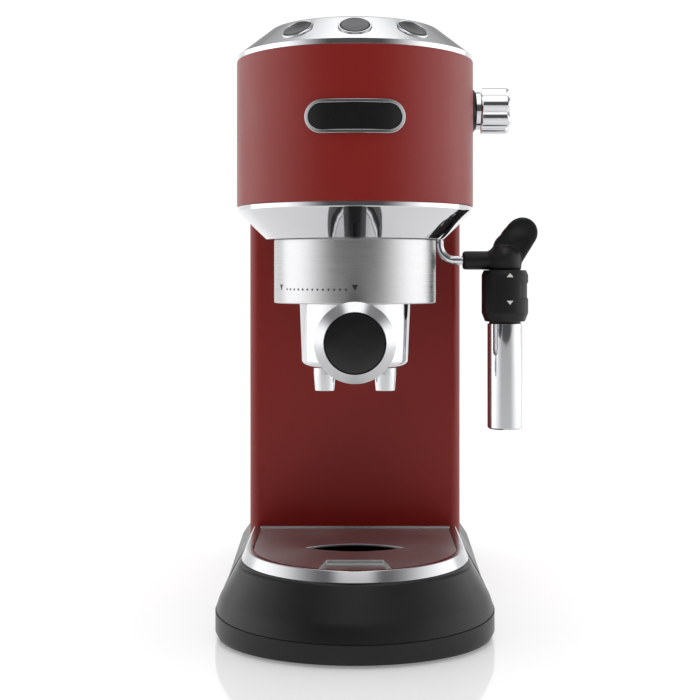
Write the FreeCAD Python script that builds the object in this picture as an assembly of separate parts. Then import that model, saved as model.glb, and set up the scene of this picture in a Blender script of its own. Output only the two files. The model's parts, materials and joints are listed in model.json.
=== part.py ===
import FreeCAD, Part
import math
import os

# Slim pump espresso machine, millimetres, +Z up.
# It is drawn with X = 0 on its middle plane, Y = 0 on the brew group's axis and Z = 0 on the counter.
# Its front is towards -Y and its steam wand towards +X.
# Each piece is then moved so that the origin is the bottom centre of the whole machine.

Vec = FreeCAD.Vector
UP = Vec(0, 0, 1)
RIGHT = Vec(1, 0, 0)
BACK = Vec(0, 1, 0)
FAR = 400.0  # reach of cutting solids that pass right through

# General clearances
slip = 0.3        # between pieces that move past each other
seat_gap = 0.2    # between fixed pieces that slot into each other
running_fit = 0.08  # radial play of a turning shaft in its bore
bite = 0.5        # how far joined shapes reach into each other, and cuts past a face

# Levels and main sizes of the body
foot_height = 1.5
column_seat = 28.0
column_height = 186.0
column_front = 57.0
column_depth = 73.0
column_corner = 6.0
column_tuck = 6.0       # how far the column panel reaches up inside the head band
sheet = 1.2             # painted steel sheet
head_half = 61.2        # half width of the head and radius of its round front
head_height = 74.5
skirt_height = 17.0
skirt_lip = 2.5
skirt_wall = 2.0
skirt_inset = 0.7       # step in from the painted band to the chrome lip
skirt_ledge = 4.0       # skirt's flat underside round the group ring
skirt_flare = 4.0       # how much wider the skirt's bottom is at the column than at the group
cover_lip = 2.5
cover_inset = 0.4
cover_rise = 14.0
cover_run = 17.8
cover_wall = 2.2
cover_back_wall = 2.0

# Base and trays
base_flare = 12.6       # rim of the base beyond the top of its rear block
base_taper = 4.0        # how much narrower the base is at the front
base_reach = 54.0       # from the centre of the round front to its foremost point
base_arc_y = -31.0      # centre of the round front
base_corner = 20.0
base_tuck = 1.5
base_tuck_height = 3.0
base_wall = 2.5
base_step_height = 10.0  # where the rear block starts to draw in
base_top_margin = 0.6   # rear block beyond the column
base_top_corner = 14.0
ledge = 5.0             # base ledge in front of the column
deck_front_height = 11.0
deck_back_height = 20.0
plate_thick = 2.0
well_margin = 19.0      # side of the well from the base's rim
well_front = -66.0
well_floor_thick = 1.5
notch_half = 8.0
notch_length = 9.0
notch_depth = 4.0
low_tray_gap = 6.0      # between the lower tray and the well's sides
low_tray_front = -46.0
low_tray_back = 38.0
low_tray_height = 6.5
low_tray_wall = 1.5
low_tray_corner = 14.0
rib_count = 6
rib_width = 1.2
rib_height = 1.0
tray_top = 36.5
tray_waist = 14.0
tray_draw_front = 11.5   # how much the tray's sides draw in towards its top
tray_draw_back = 13.0
tray_reach = 43.5
tray_wall = 2.5
mouth_ledge = 2.5       # tray top under the cup plate's edge
trim_height = 5.3
trim_width = 3.2
trim_round = 1.0
trim_lip = 1.6
trim_lip_height = 3.4
plate_margin = 6.5      # cup plate's side from the tray's edge
plate_front_margin = 5.0
cup_plate_back = 30.0
cup_plate_thick = 1.2
slot_half = 25.0
slot_width = 17.0
slot_y = -19.0
recess_back_half = 13.7
recess_front_half = 18.2
recess_length = 23.0
recess_depth = 2.0
foot_radius = 8.0
foot_y_front = -42.0
foot_inset = 23.0
foot_from_back = 26.0
foot_from_boss = 20.0
base_screw_radius = 1.6
base_screw_length = 8.0
base_screw_head = 3.2
base_screw_head_height = 1.2
boss_radius = 4.5
front_boss_y = -8.0
rear_boss_inset = 8.4
rear_boss_from_back = 24.0

# Brew group
bowl_inner = 27.0        # bore of the portafilter, which the brew group's sizes follow
ring_height = 32.6
ring_wall = 1.3
ring_round = 1.1
ring_lip = 4.5
ring_lip_thick = 1.5
group_wall = 4.7
group_lip_thick = 4.8
group_channel = 7.0
group_pocket = 8.0
filter_play = 1.2       # round the portafilter's rim
lug_length = 5.4
lug_play = 1.2
lug_height = 4.4
lug_angle = 30.0
lug_slot_spare = 6.0
insert_turn = 57.0      # turn from insertion to closed
gasket_width = 6.2
screen_thick = 1.2
screen_hole = 0.9
screen_rings = 3
screen_ring_step = 6.0
screen_holes_per_ring = 8
bowl_wall = 2.2
bowl_taper = 1.2
bowl_depth = 46.7       # rim down to the bowl's underside
bowl_floor = 6.0
bowl_round = 4.0
basket_wall = 0.6
basket_hole = 0.6
basket_rim_thick = 0.8
basket_depth = 23.0
basket_play = 0.6
spout_x = 15.6
spout_top_radius = 6.0
spout_tip_radius = 5.3
spout_bar_height = 4.0
spout_length = 12.5
spout_bore = 3.3
handle_drop = 13.4      # handle axis below the ring's bottom
neck_root_radius = 9.0
neck_radius = 7.5
neck_reach = 10.8       # from the bowl's rim to the end of the neck
neck_cone = 2.0
collar_radius = 11.0
collar_length = 4.0
grip_root_radius = 10.5
grip_belly_radius = 14.2
grip_belly = 54.5       # widest place, from the grip's start
grip_length = 81.0
grip_end_taper = 1.0
tang_radius = 4.0
tang_length = 40.0
end_ring_radius = 17.06
end_ring_face = 13.0
end_ring_length = 12.0
end_ring_bevel = 5.0
end_cap_radius = 12.6
end_cap_depth = 5.0
end_cap_proud = 1.0
end_cap_bevel = 1.0

# Heater, pump and water path
heater_flange_edge = 3.5  # flange beyond the screw circle
heater_flange = 4.0
heater_shoulder = 7.0   # from the flange's edge in to the heater's wall
heater_height = 39.0
spigot_step = 0.5       # from the heater's wall in to its spigot
heater_inlet_height = 20.0
heater_steam_y = 22.0
shelf_thick = 3.0
shelf_margin = 5.2      # head frame's edge from the band
shelf_drop = 2.0        # underside of the head frame below the band's lower edge
tab_height = 8.0
tab_length = 18.0
tab_root = 2.0
group_screw_radius = 2.4
group_screw_edge = 4.0  # screw circle from the group's edge
group_screw_depth = 8.0
group_screw_head = 4.2
group_screw_head_height = 3.0
frame_wall = 2.5
window_margin = 10.0
rear_panel_thick = 3.0
frame_gap = 1.0
pump_from_front = 38.0  # pump axis behind the column's front
pump_bottom = 65.0
pump_length = 100.0
pump_radius = 9.0
pump_bore = 5.3
plunger_length = 32.0
plunger_room = 40.0
coil_half = 17.0
coil_height = 44.0
damper_width = 3.0
damper_height = 8.0
damper_groove = 1.0
shelf_low = 78.0        # pump shelves inside the column
shelf_high = 150.0
nipple_radius = 3.0
nipple_length = 10.0
flow_radius = 12.0
flow_height = 16.0
hose_wall = 1.2
hose_play = 1.0         # round a hose where it passes a wall
hose_gap = 0.5          # a hose end from the shoulder of its nipple
meter_nipple = 4.5      # lower nipple of the flow meter
pressure_bend = 20.0

# Steam path
knob_y = 33.0
knob_height = 54.3      # knob axis above the band's lower edge
knob_lobes = 6
lobe_radius = 4.7
lobe_circle = 9.0
knob_core = 11.6
knob_length = 16.0
knob_round = 1.6
knob_collar_radius = 11.4
knob_collar_length = 3.4
bezel_radius = 12.2
bezel_thick = 2.5
bezel_play = 0.6
stem_radius = 3.0
stem_hole = 5.0
stem_in_knob = 9.0
valve_length = 22.0
valve_half = 9.0
valve_from_side = 31.2  # valve's inner end from the head's side
stem_in_valve = 10.0
steam_pipe_radius = 2.2
steam_bend = 5.0
steam_corner_x = 10.0
post_width = 8.0
post_inset = 2.0
wand_inset = 15.2       # wand's swivel from the head's side
ball_radius = 4.5
ball_drop = 4.5         # ball centre below the head frame
socket_radius = 5.2
socket_height = 7.5
socket_mouth = 3.7
wand_radius = 2.5
wand_drop = 10.3        # horizontal run below the skirt
wand_bend = 8.5
wand_arm = 36.0         # from swivel to frother axis
grip_inner = 13.0       # where the rubber grip begins, from the swivel
wand_in_grip = 12.0
grip_radius = 4.9
hub_margin = 0.2        # hub beyond the frother core
hub_round = 2.0
hub_below = 5.0
hub_above = 5.0
paddle_out = 9.4
paddle_up = 15.2
paddle_radius = 8.1
paddle_thick = 7.0
dish_radius = 22.0
dish_depth = 1.2
core_radius = 8.6
core_length = 42.0
core_bore = 1.5
nozzle_radius = 3.0
nozzle_length = 34.0
collar_wall = 2.6
collar_height = 28.0
collar_top_bevel = 1.5
collar_top_bevel_height = 3.0
collar_foot_bevel = 1.8
collar_foot_bevel_height = 5.0
collar_skirt_play = 0.5
collar_skirt_spare = 4.0
collar_travel = 6.0
sleeve_wall = 0.7
sleeve_length = 57.5
sleeve_gap = 1.1        # between the collar's foot and the sleeve's top
sleeve_rolled = 1.0

# Buttons, badge and top
button_radius = 6.9
button_spread = 33.0    # degrees between buttons round the slope
button_along = 0.53     # share of the slope's height
button_proud = 0.8
button_relief = 0.5     # room for the slope's curve over the flat flange
button_bezel_width = 1.0
button_bezel_proud = 0.6
button_flange = 1.4
button_flange_thick = 1.4
button_stem_radius = 2.5
button_stem_length = 2.0
button_travel = 1.5
button_dish = 0.5
switch_half = 3.0
switch_height = 3.0
switch_pin_radius = 1.6
switch_pin_height = 0.5
carrier_thick = 2.0
carrier_rim = 4.0
carrier_back = -22.0
badge_half = 24.0
badge_half_height = 8.0
badge_rim_width = 1.6
badge_rim_proud = 1.7
badge_plate_proud = 1.2
badge_gap = 0.05
badge_height = 40.0     # badge centre above the band's lower edge
warmer_margin = 3.0     # warmer plate's edge from the top's edge
warmer_ledge = 3.0
warmer_thick = 0.8
warmer_depth = 1.1
warmer_back_gap = 12.0
board_inset = 9.2       # board's face from the head's side
board_thick = 1.6
board_front = 20.0
board_length = 80.0
board_height = 60.0
board_parts = (22.0, 14.0, 10.0)  # tall components, by their width
board_part_depth = 12.0
board_part_pitch = 26.0
board_part_edge = 8.0

# Water tank
tank_gap = 1.5
tank_depth = 53.0
tank_back_gap = 1.5     # base's back behind the tank
tank_inset = 2.5
tank_wall = 2.0
tank_floor = 2.5
tank_front_corner = 5.0
tank_back_corner = 20.0
tank_top_drop = 4.5     # tank rim below the head band's top
spigot_radius = 6.2
spigot_length = 9.0
spigot_bore = 3.0
lid_edge = 4.0
lid_rise = 14.5
lid_inset = 16.0
lid_wall = 2.0
lid_top_corner = 10.0
lid_seat = 0.3
hinge_out = 3.2
hinge_up = 1.8
knuckle_radius = 2.6
knuckle_inset = 17.3    # end of the lid's knuckle from the tank's side
hinge_pin_radius = 1.5
ear_width = 5.0
ear_gap = 0.4
ear_drop = 10.0
coupling_radius = 10.0
coupling_flange = 13.0
coupling_flange_thick = 2.0
coupling_depth = 15.0
coupling_bore_depth = 11.5
barb_rise = 1.0         # hose barb above the coupling's underside

# Switch and cord entry on the base's back
switch_x = -34.0
entry_x = 34.0
entry_z = 14.5
rocker_half = 7.6
rocker_half_height = 4.2
rocker_proud = 2.0
rocker_depth = 5.0
rocker_tilt = 7.0
rocker_play = 0.4
rocker_pin_radius = 1.2
rocker_pin_length = 1.5
switch_wall = 2.2
switch_depth = 12.0
switch_flange = 2.0
switch_flange_thick = 1.5
gland_flange = 8.5
gland_flange_thick = 2.0
gland_radius = 6.0
gland_bore = 3.6
gland_depth = 10.0

# Levels that follow from the sizes above
head_bottom = column_seat + column_height
head_top = head_bottom + head_height
cover_shoulder = head_top + cover_lip
machine_top = cover_shoulder + cover_rise
skirt_bottom = head_bottom - skirt_height
ring_bottom = skirt_bottom - ring_height
shelf_bottom = head_bottom - shelf_drop
shelf_top = shelf_bottom + shelf_thick
column_half = head_half - sheet - seat_gap
base_top_half = column_half + base_top_margin
base_half_back = base_top_half + base_flare
base_half_front = base_half_back - base_taper
well_half = base_half_front - well_margin
low_tray_half = well_half - low_tray_gap
tray_half_front = base_half_front - tray_draw_front
tray_half_back = base_half_back - tray_draw_back
plate_half = tray_half_front - plate_margin
tray_mouth = plate_half - mouth_ledge
cup_plate_y = base_arc_y - tray_reach + plate_front_margin + plate_half  # centre of its round front
foot_x_front = base_half_front - foot_inset
rear_boss_x = base_top_half - rear_boss_inset
foot_x_back = rear_boss_x - foot_from_boss
filter_rim_radius = bowl_inner + bowl_wall
lug_reach = filter_rim_radius + lug_length
group_outer = lug_reach + lug_play + group_wall
ring_radius = group_outer + seat_gap + ring_wall
skirt_half = ring_radius + skirt_ledge
group_screw_circle = group_outer - group_screw_edge
heater_flange_radius = group_screw_circle + heater_flange_edge
heater_radius = heater_flange_radius - heater_shoulder
heater_spigot = heater_radius - spigot_step
neck_end = filter_rim_radius + neck_reach
grip_start = neck_end + neck_cone + collar_length
grip_end = grip_start + grip_length
shelf_half = head_half - shelf_margin
valve_inner = head_half - valve_from_side
wand_x = head_half - wand_inset
sleeve_outer = core_radius + slip + sleeve_wall
collar_skirt_bore = sleeve_outer + collar_skirt_play
collar_skirt_height = collar_travel + collar_skirt_spare
collar_outer = collar_skirt_bore + collar_wall
hub_radius = core_radius + hub_margin
pump_y = column_front + pump_from_front
column_back = column_front + column_depth
tank_front = column_back + tank_gap
tank_back = tank_front + tank_depth
base_front = base_arc_y - base_reach
base_back = tank_back + tank_back_gap
rear_block_front = column_front - ledge
cover_half = head_half - cover_inset
warmer_half = cover_half - cover_run - warmer_margin
cover_slope = math.hypot(cover_rise, cover_run)
base_floor = foot_height + plate_thick
well_floor = base_floor + well_floor_thick
tray_trim_top = tray_top + trim_height
trim_half = plate_half + seat_gap + trim_width
handle_axis = ring_bottom - handle_drop
knob_z = head_bottom + knob_height
ball_z = shelf_bottom - ball_drop
wand_z = skirt_bottom - wand_drop
frother_x = wand_x + wand_arm
grip_bottom = wand_z - hub_below
tank_bottom = column_seat + slip
tank_top = head_top - tank_top_drop
tank_half = column_half - tank_inset
knuckle_half = tank_half - knuckle_inset
knuckle_reach = knuckle_half + ear_gap + ear_width
hinge_y = tank_back + hinge_out
hinge_z = tank_top + hinge_up
group_floor = ring_bottom + ring_lip_thick + seat_gap
channel_floor = group_floor + group_lip_thick
gasket_floor = channel_floor + group_channel
pocket_top = gasket_floor + group_pocket
lug_bottom = channel_floor + slip
rim_level = gasket_floor + seat_gap
bowl_bottom = rim_level - bowl_depth
heater_bottom = shelf_top
heater_top = heater_bottom + heater_flange + heater_height
pump_top = pump_bottom + pump_length
pump_middle = (shelf_low + shelf_high) / 2
barb_z = column_seat - coupling_depth + nipple_radius + barb_rise
button_angles = (-button_spread, 0.0, button_spread)

# The machine's outermost points, which place the row's origin
paddle_right = frother_x + paddle_out + paddle_radius
handle_tip = -(grip_end + end_ring_length + end_cap_proud)
hinge_back = hinge_y + knuckle_radius
ORIGIN = Vec((paddle_right - base_half_back) / 2, (handle_tip + hinge_back) / 2, 0)


def block(x0, x1, y0, y1, z0, z1):
    return Part.makeBox(x1 - x0, y1 - y0, z1 - z0, Vec(x0, y0, z0))


def rod(radius, start, end):
    line = end - start
    return Part.makeCylinder(radius, line.Length, start, line)


def tube(outer, inner, start, end):
    return rod(outer, start, end).cut(rod(inner, start, end))


def turned(points, base, direction=UP):
    corners = [Vec(radius, 0, height) for radius, height in points]
    face = Part.Face(Part.makePolygon(corners + corners[:1]))
    solid = face.revolve(Vec(0, 0, 0), UP, 360)
    solid.Placement = FreeCAD.Placement(base, FreeCAD.Rotation(UP, direction))
    return solid


def prism(wire, height):
    return Part.Face(wire).extrude(UP * height)


def loft(*wires):
    return Part.makeLoft(list(wires), True, True)


def arc(start, middle, end):
    return Part.Arc(start, middle, end).toShape()


def round_front(half, centre_y, back_y, z, half_back=None):
    # Outline with a half-round front and straight sides, which may spread towards the back
    half_back = half if half_back is None else half_back
    left = Vec(-half, centre_y, z)
    right = Vec(half, centre_y, z)
    back_right = Vec(half_back, back_y, z)
    back_left = Vec(-half_back, back_y, z)
    front = arc(left, Vec(0, centre_y - half, z), right)
    side_right = Part.makeLine(right, back_right)
    back = Part.makeLine(back_right, back_left)
    side_left = Part.makeLine(back_left, left)
    return Part.Wire([front, side_right, back, side_left])


def corner_arc(centre_x, centre_y, radius, degrees, z):
    angles = [math.radians(degrees + turn) for turn in (0, 45, 90)]
    points = [Vec(centre_x + radius * math.cos(a), centre_y + radius * math.sin(a), z) for a in angles]
    return arc(*points)


def joined(arcs):
    # Closed outline: the given arcs in order, with straight lines between them
    edges = []
    for here, after in zip(arcs, arcs[1:] + arcs[:1]):
        edges.append(here)
        edges.append(Part.makeLine(here.lastVertex(True).Point, after.firstVertex(True).Point))
    return Part.Wire(edges)


def base_outline(half_front, half_back, reach, back_y, corner, z):
    # Half-ellipse front, sides that spread a little to the back, round rear corners
    centre = Vec(0, base_arc_y, z)
    quarter = math.pi / 2
    if half_front >= reach:
        ellipse = Part.Ellipse(centre + RIGHT * half_front, centre - BACK * reach, centre)
        front = Part.ArcOfEllipse(ellipse, 0, 2 * quarter).toShape()
    else:
        ellipse = Part.Ellipse(centre - BACK * reach, centre - RIGHT * half_front, centre)
        front = Part.ArcOfEllipse(ellipse, -quarter, quarter).toShape()
    x = half_back - corner
    y = back_y - corner
    left_angles = [math.radians(a) for a in (180, 135, 90)]
    right_angles = [math.radians(a) for a in (90, 45, 0)]
    left = arc(*[Vec(-x + corner * math.cos(a), y + corner * math.sin(a), z) for a in left_angles])
    right = arc(*[Vec(x + corner * math.cos(a), y + corner * math.sin(a), z) for a in right_angles])
    return joined([front, left, right])


def rim_outline(inset, z):
    return base_outline(base_half_front - inset, base_half_back - inset, base_reach - inset,
                        base_back - inset, base_corner - inset, z)


def rounded_rectangle(half, front, back, front_corner, back_corner, z):
    return joined([
        corner_arc(half - back_corner, back - back_corner, back_corner, 0, z),
        corner_arc(-half + back_corner, back - back_corner, back_corner, 90, z),
        corner_arc(-half + front_corner, front + front_corner, front_corner, 180, z),
        corner_arc(half - front_corner, front + front_corner, front_corner, 270, z),
    ])


def deck_height(y):
    rise = deck_back_height - deck_front_height
    return deck_front_height + rise * (y - base_front) / (column_front - base_front)


def under_deck(lift):
    # Everything below the sloping deck, raised by lift
    near = base_front - base_corner
    far = base_back + base_corner
    corners = [Vec(-FAR, near, -FAR), Vec(-FAR, far, -FAR),
               Vec(-FAR, far, deck_height(far) + lift), Vec(-FAR, near, deck_height(near) + lift)]
    return Part.Face(Part.makePolygon(corners + corners[:1])).extrude(RIGHT * 2 * FAR)


def bent_rod(points, radius, bend):
    # Round bar along straight runs joined by arcs
    edges = []
    start = points[0]
    for before, corner, after in zip(points, points[1:], points[2:]):
        back = (before - corner).normalize()
        ahead = (after - corner).normalize()
        half_turn = (math.pi - back.getAngle(ahead)) / 2
        run = bend * math.tan(half_turn)
        middle = (back + ahead).normalize()
        centre_far = bend / math.cos(half_turn)
        enter = corner + back * run
        leave = corner + ahead * run
        edges.append(Part.makeLine(start, enter))
        edges.append(arc(enter, corner + middle * (centre_far - bend), leave))
        start = leave
    edges.append(Part.makeLine(start, points[-1]))
    path = Part.Wire(edges)
    profile = Part.Wire(Part.makeCircle(radius, points[0], points[1] - points[0]))
    return path.makePipeShell([profile], True, False)


def bent_tube(points, outer, inner, bend):
    return bent_rod(points, outer, bend).cut(bent_rod(points, inner, bend))


def fused(first, *others):
    return first.fuse(list(others)).removeSplitter()


def rounded(shape, radius, chosen):
    return shape.makeFillet(radius, [edge for edge in shape.Edges if chosen(edge)])


def at_level(z):
    return lambda edge: abs(edge.BoundBox.ZMin - z) < 1e-4 and abs(edge.BoundBox.ZMax - z) < 1e-4


def polar(radius, degrees, z=0.0):
    # 0 degrees is the front, positive towards +X
    angle = math.radians(degrees)
    return Vec(radius * math.sin(angle), -radius * math.cos(angle), z)


def export(name, *solids):
    shape = solids[0] if len(solids) == 1 else Part.makeCompound(list(solids))
    moved = shape.copy()
    moved.translate(ORIGIN * -1)
    moved.exportStep("parts/" + name + ".step")


# Base

def boss_places():
    front_x = (base_half_front - base_tuck + well_half) / 2
    rear_y = base_back - rear_boss_from_back
    return [(side * x, y) for side in (-1, 1) for x, y in ((front_x, front_boss_y), (rear_boss_x, rear_y))]


def base_shell():
    tuck = loft(rim_outline(base_tuck, foot_height), rim_outline(0, foot_height + base_tuck_height))
    wall_height = deck_height(base_back) - foot_height - base_tuck_height
    slab = fused(tuck, prism(rim_outline(0, foot_height + base_tuck_height), wall_height))
    slab = slab.common(under_deck(0))
    behind = block(-FAR, FAR, rear_block_front, FAR, 0, FAR)
    top = base_outline(base_top_half, base_top_half, base_reach, base_back, base_top_corner, column_seat)
    rear = loft(rim_outline(0, base_step_height), top).common(behind)
    slab = slab.cut(behind.common(block(-FAR, FAR, -FAR, FAR, base_step_height, FAR)))
    body = fused(slab, rear)
    inset = base_tuck + base_wall
    hollow = prism(rim_outline(inset, foot_height), FAR).common(under_deck(-base_wall))
    hollow = hollow.cut(prism(round_front(well_half + base_wall, well_front + well_half, rear_block_front,
                                          base_floor), FAR))
    hollow = hollow.cut(behind)
    roof = column_seat - base_wall
    rear_top = base_outline(base_top_half - base_wall, base_top_half - base_wall, base_reach,
                            base_back - inset, base_top_corner, roof)
    behind_wall = block(-FAR, FAR, rear_block_front + base_wall, FAR, 0, FAR)
    rear_hollow = loft(rim_outline(inset, foot_height), rim_outline(inset, base_step_height))
    rear_hollow = fused(rear_hollow, loft(rim_outline(inset, base_step_height), rear_top)).common(behind_wall)
    mouth = prism(rim_outline(inset, foot_height), plate_thick)
    body = body.cut([hollow, rear_hollow, mouth])
    well_back = rear_block_front - base_wall
    well = prism(round_front(well_half, well_front + well_half, well_back, well_floor), FAR)
    notch_y = well_front - notch_length
    notch_floor = deck_height(notch_y) - notch_depth
    notch = block(-notch_half, notch_half, notch_y, well_front + notch_length, notch_floor, FAR)
    body = body.cut([well, notch])
    bosses = [rod(boss_radius, Vec(x, y, base_floor), Vec(x, y, deck_height(y) - base_wall + bite))
              for x, y in boss_places()]
    body = fused(body, *bosses)
    pilots = [rod(base_screw_radius, Vec(x, y, base_floor), Vec(x, y, base_floor + base_screw_length))
              for x, y in boss_places()]
    coupling = rod(coupling_radius + seat_gap, Vec(0, coupling_y(), 0), Vec(0, coupling_y(), FAR))
    hose = rod(nipple_radius + hose_wall + hose_play, Vec(0, pump_y, base_floor), Vec(0, pump_y, column_seat))
    entry_start = Vec(entry_x, base_back - gland_depth, entry_z)
    entry = rod(gland_radius + seat_gap, entry_start, entry_start + BACK * FAR)
    return body.cut(pilots + [coupling, hose, entry, switch_body(seat_gap)])


def coupling_y():
    return (tank_front + tank_back) / 2


def bottom_plate():
    inset = base_tuck + base_wall + seat_gap
    plate = prism(rim_outline(inset, foot_height), plate_thick)
    holes = []
    for x, y in boss_places():
        head_seat = Vec(x, y, foot_height + base_screw_head_height)
        holes.append(rod(base_screw_radius + seat_gap, Vec(x, y, 0), Vec(x, y, base_floor)))
        holes.append(rod(base_screw_head + seat_gap, Vec(x, y, 0), head_seat))
    return plate.cut(holes)


def base_screws():
    screws = []
    for x, y in boss_places():
        head_top_z = foot_height + base_screw_head_height
        tip = Vec(x, y, base_floor + base_screw_length - seat_gap)
        shank = rod(base_screw_radius, Vec(x, y, head_top_z), tip)
        screws.append(fused(rod(base_screw_head, Vec(x, y, foot_height), Vec(x, y, head_top_z)), shank))
    return screws


def feet():
    rear_y = base_back - foot_from_back
    places = [(side * x, y) for side in (-1, 1)
              for x, y in ((foot_x_front, foot_y_front), (foot_x_back, rear_y))]
    return [rod(foot_radius, Vec(x, y, 0), Vec(x, y, foot_height)) for x, y in places]


def lower_tray():
    outer = prism(rounded_rectangle(low_tray_half, low_tray_front, low_tray_back, low_tray_corner,
                                    low_tray_corner, well_floor), low_tray_height)
    inner_corner = low_tray_corner - low_tray_wall
    inner = prism(rounded_rectangle(low_tray_half - low_tray_wall, low_tray_front + low_tray_wall,
                                    low_tray_back - low_tray_wall, inner_corner, inner_corner,
                                    well_floor + low_tray_wall), FAR)
    tray = outer.cut(inner)
    pitch = (low_tray_back - low_tray_front) / (rib_count + 1)
    half = low_tray_half - low_tray_corner
    floor = well_floor + low_tray_wall
    ribs = []
    for index in range(rib_count):
        y = low_tray_front + pitch * (index + 1)
        near = y - rib_width / 2
        ribs.append(block(-half, half, near, near + rib_width, floor - bite, floor + rib_height))
    return fused(tray, *ribs)


# Drip tray

def tray_outline(half_front, half_back, reach, inset, z):
    return base_outline(half_front - inset, half_back - inset, reach - inset, base_back - inset,
                        base_corner - inset, z)


def tray_form(inset, top):
    waist = tray_outline(base_half_front, base_half_back, base_reach, inset, tray_waist)
    rim = tray_outline(tray_half_front, tray_half_back, tray_reach, inset, top)
    lower = prism(tray_outline(base_half_front, base_half_back, base_reach, inset, foot_height),
                  tray_waist - foot_height)
    return fused(lower, loft(waist, rim))


def drip_tray():
    back = rear_block_front - slip
    behind = block(-FAR, FAR, back, FAR, 0, FAR)
    outer = tray_form(0, tray_top).cut([under_deck(slip), behind])
    inner = tray_form(tray_wall, tray_top - tray_wall)
    inner = inner.cut([under_deck(slip + tray_wall), block(-FAR, FAR, back - tray_wall, FAR, 0, FAR)])
    mouth_back = cup_plate_back - (plate_half - tray_mouth)
    mouth = prism(round_front(tray_mouth, cup_plate_y, mouth_back, tray_top - 2 * tray_wall), FAR)
    return outer.cut([inner, mouth])


def tray_trim():
    back = cup_plate_back + seat_gap + trim_width
    outer = prism(round_front(trim_half, cup_plate_y, back, tray_top), trim_height)
    outer = rounded(outer, trim_round, at_level(tray_trim_top))
    seat = plate_half + seat_gap
    upper = prism(round_front(seat, cup_plate_y, cup_plate_back + seat_gap, tray_top + trim_lip_height), FAR)
    lower = prism(round_front(seat - trim_lip, cup_plate_y, cup_plate_back - trim_lip, tray_top - bite), FAR)
    return outer.cut([upper, lower])


def lens_slot(half, width, y, z):
    # Opening with two bowed long sides that meet in points
    left = Vec(-half, y, z)
    right = Vec(half, y, z)
    near = arc(left, Vec(0, y - width / 2, z), right)
    far = arc(right, Vec(0, y + width / 2, z), left)
    return Part.Wire([near, far])


def recess_outline(inset, z):
    front = cup_plate_y - plate_half
    back = front + recess_length
    front_half = recess_front_half - inset
    back_half = recess_back_half - inset
    corners = [Vec(-front_half, front - bite, z), Vec(front_half, front - bite, z),
               Vec(back_half, back - inset, z), Vec(-back_half, back - inset, z)]
    return Part.makePolygon(corners + corners[:1])


def cup_plate():
    bottom = tray_top + trim_lip_height
    outline = round_front(plate_half, cup_plate_y, cup_plate_back, bottom)
    plate = prism(outline, cup_plate_thick)
    plate = plate.cut(prism(lens_slot(slot_half, slot_width, slot_y, bottom - bite), FAR))
    inside = prism(round_front(plate_half - trim_lip - 2 * seat_gap, cup_plate_y, cup_plate_back,
                               bottom - recess_depth), FAR)
    pan = prism(recess_outline(-cup_plate_thick, bottom - recess_depth), recess_depth + cup_plate_thick)
    pan = pan.common(inside)
    hollow = prism(recess_outline(0, bottom - recess_depth + cup_plate_thick), FAR)
    return fused(plate, pan).cut(hollow.common(inside))


# Column

def channel(half, front, back, corner, z):
    edges = [
        Part.makeLine(Vec(-half, back, z), Vec(-half, front + corner, z)),
        corner_arc(-half + corner, front + corner, corner, 180, z),
        Part.makeLine(Vec(-half + corner, front, z), Vec(half - corner, front, z)),
        corner_arc(half - corner, front + corner, corner, 270, z),
        Part.makeLine(Vec(half, front + corner, z), Vec(half, back, z)),
        Part.makeLine(Vec(half, back, z), Vec(-half, back, z)),
    ]
    return Part.Wire(edges)


def column_panel():
    height = column_height + column_tuck
    outer = prism(channel(column_half, column_front, column_back, column_corner, column_seat), height)
    inner = channel(column_half - sheet, column_front + sheet, FAR, column_corner - sheet, column_seat)
    gate_half = shelf_half + seat_gap
    gate = block(-gate_half, gate_half, 0, column_front + column_corner, shelf_bottom - slip, FAR)
    return outer.cut([prism(inner, height), gate])


def rear_panel():
    half = column_half - sheet - seat_gap
    front = column_back - rear_panel_thick
    lower = block(-half, half, front, column_back, column_seat, head_top)
    head_inner = head_half - sheet - seat_gap
    upper = block(-head_inner, head_inner, front, column_back, head_bottom + column_tuck + seat_gap, head_top)
    return fused(lower, upper)


def frame_half():
    return column_half - sheet - frame_gap


def column_frame():
    half = frame_half()
    front = column_front + sheet + frame_gap
    back = column_back - rear_panel_thick
    corner = column_corner - sheet - frame_gap
    tower = prism(channel(half, front, back, corner, column_seat), shelf_bottom - column_seat)
    inside = block(-half + frame_wall, half - frame_wall, front + frame_wall, back - frame_wall, 0, FAR)
    shelf = damper_groove + frame_wall
    levels = (shelf_low, shelf_high)
    shelves = [prism(channel(half, front, back, corner, z), shelf) for z in levels]
    body = fused(tower.cut(inside), *shelves)
    side = half - window_margin
    window = block(-side, side, 0, FAR, column_seat + window_margin, shelf_bottom - window_margin)
    window = window.cut([block(-FAR, FAR, 0, FAR, z - frame_wall, z + shelf + frame_wall) for z in levels])
    hole = pump_radius + damper_width
    bores = [rod(hole, Vec(0, pump_y, z - bite), Vec(0, pump_y, z + shelf + bite)) for z in levels]
    return body.cut([window] + bores)


# Head

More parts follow.
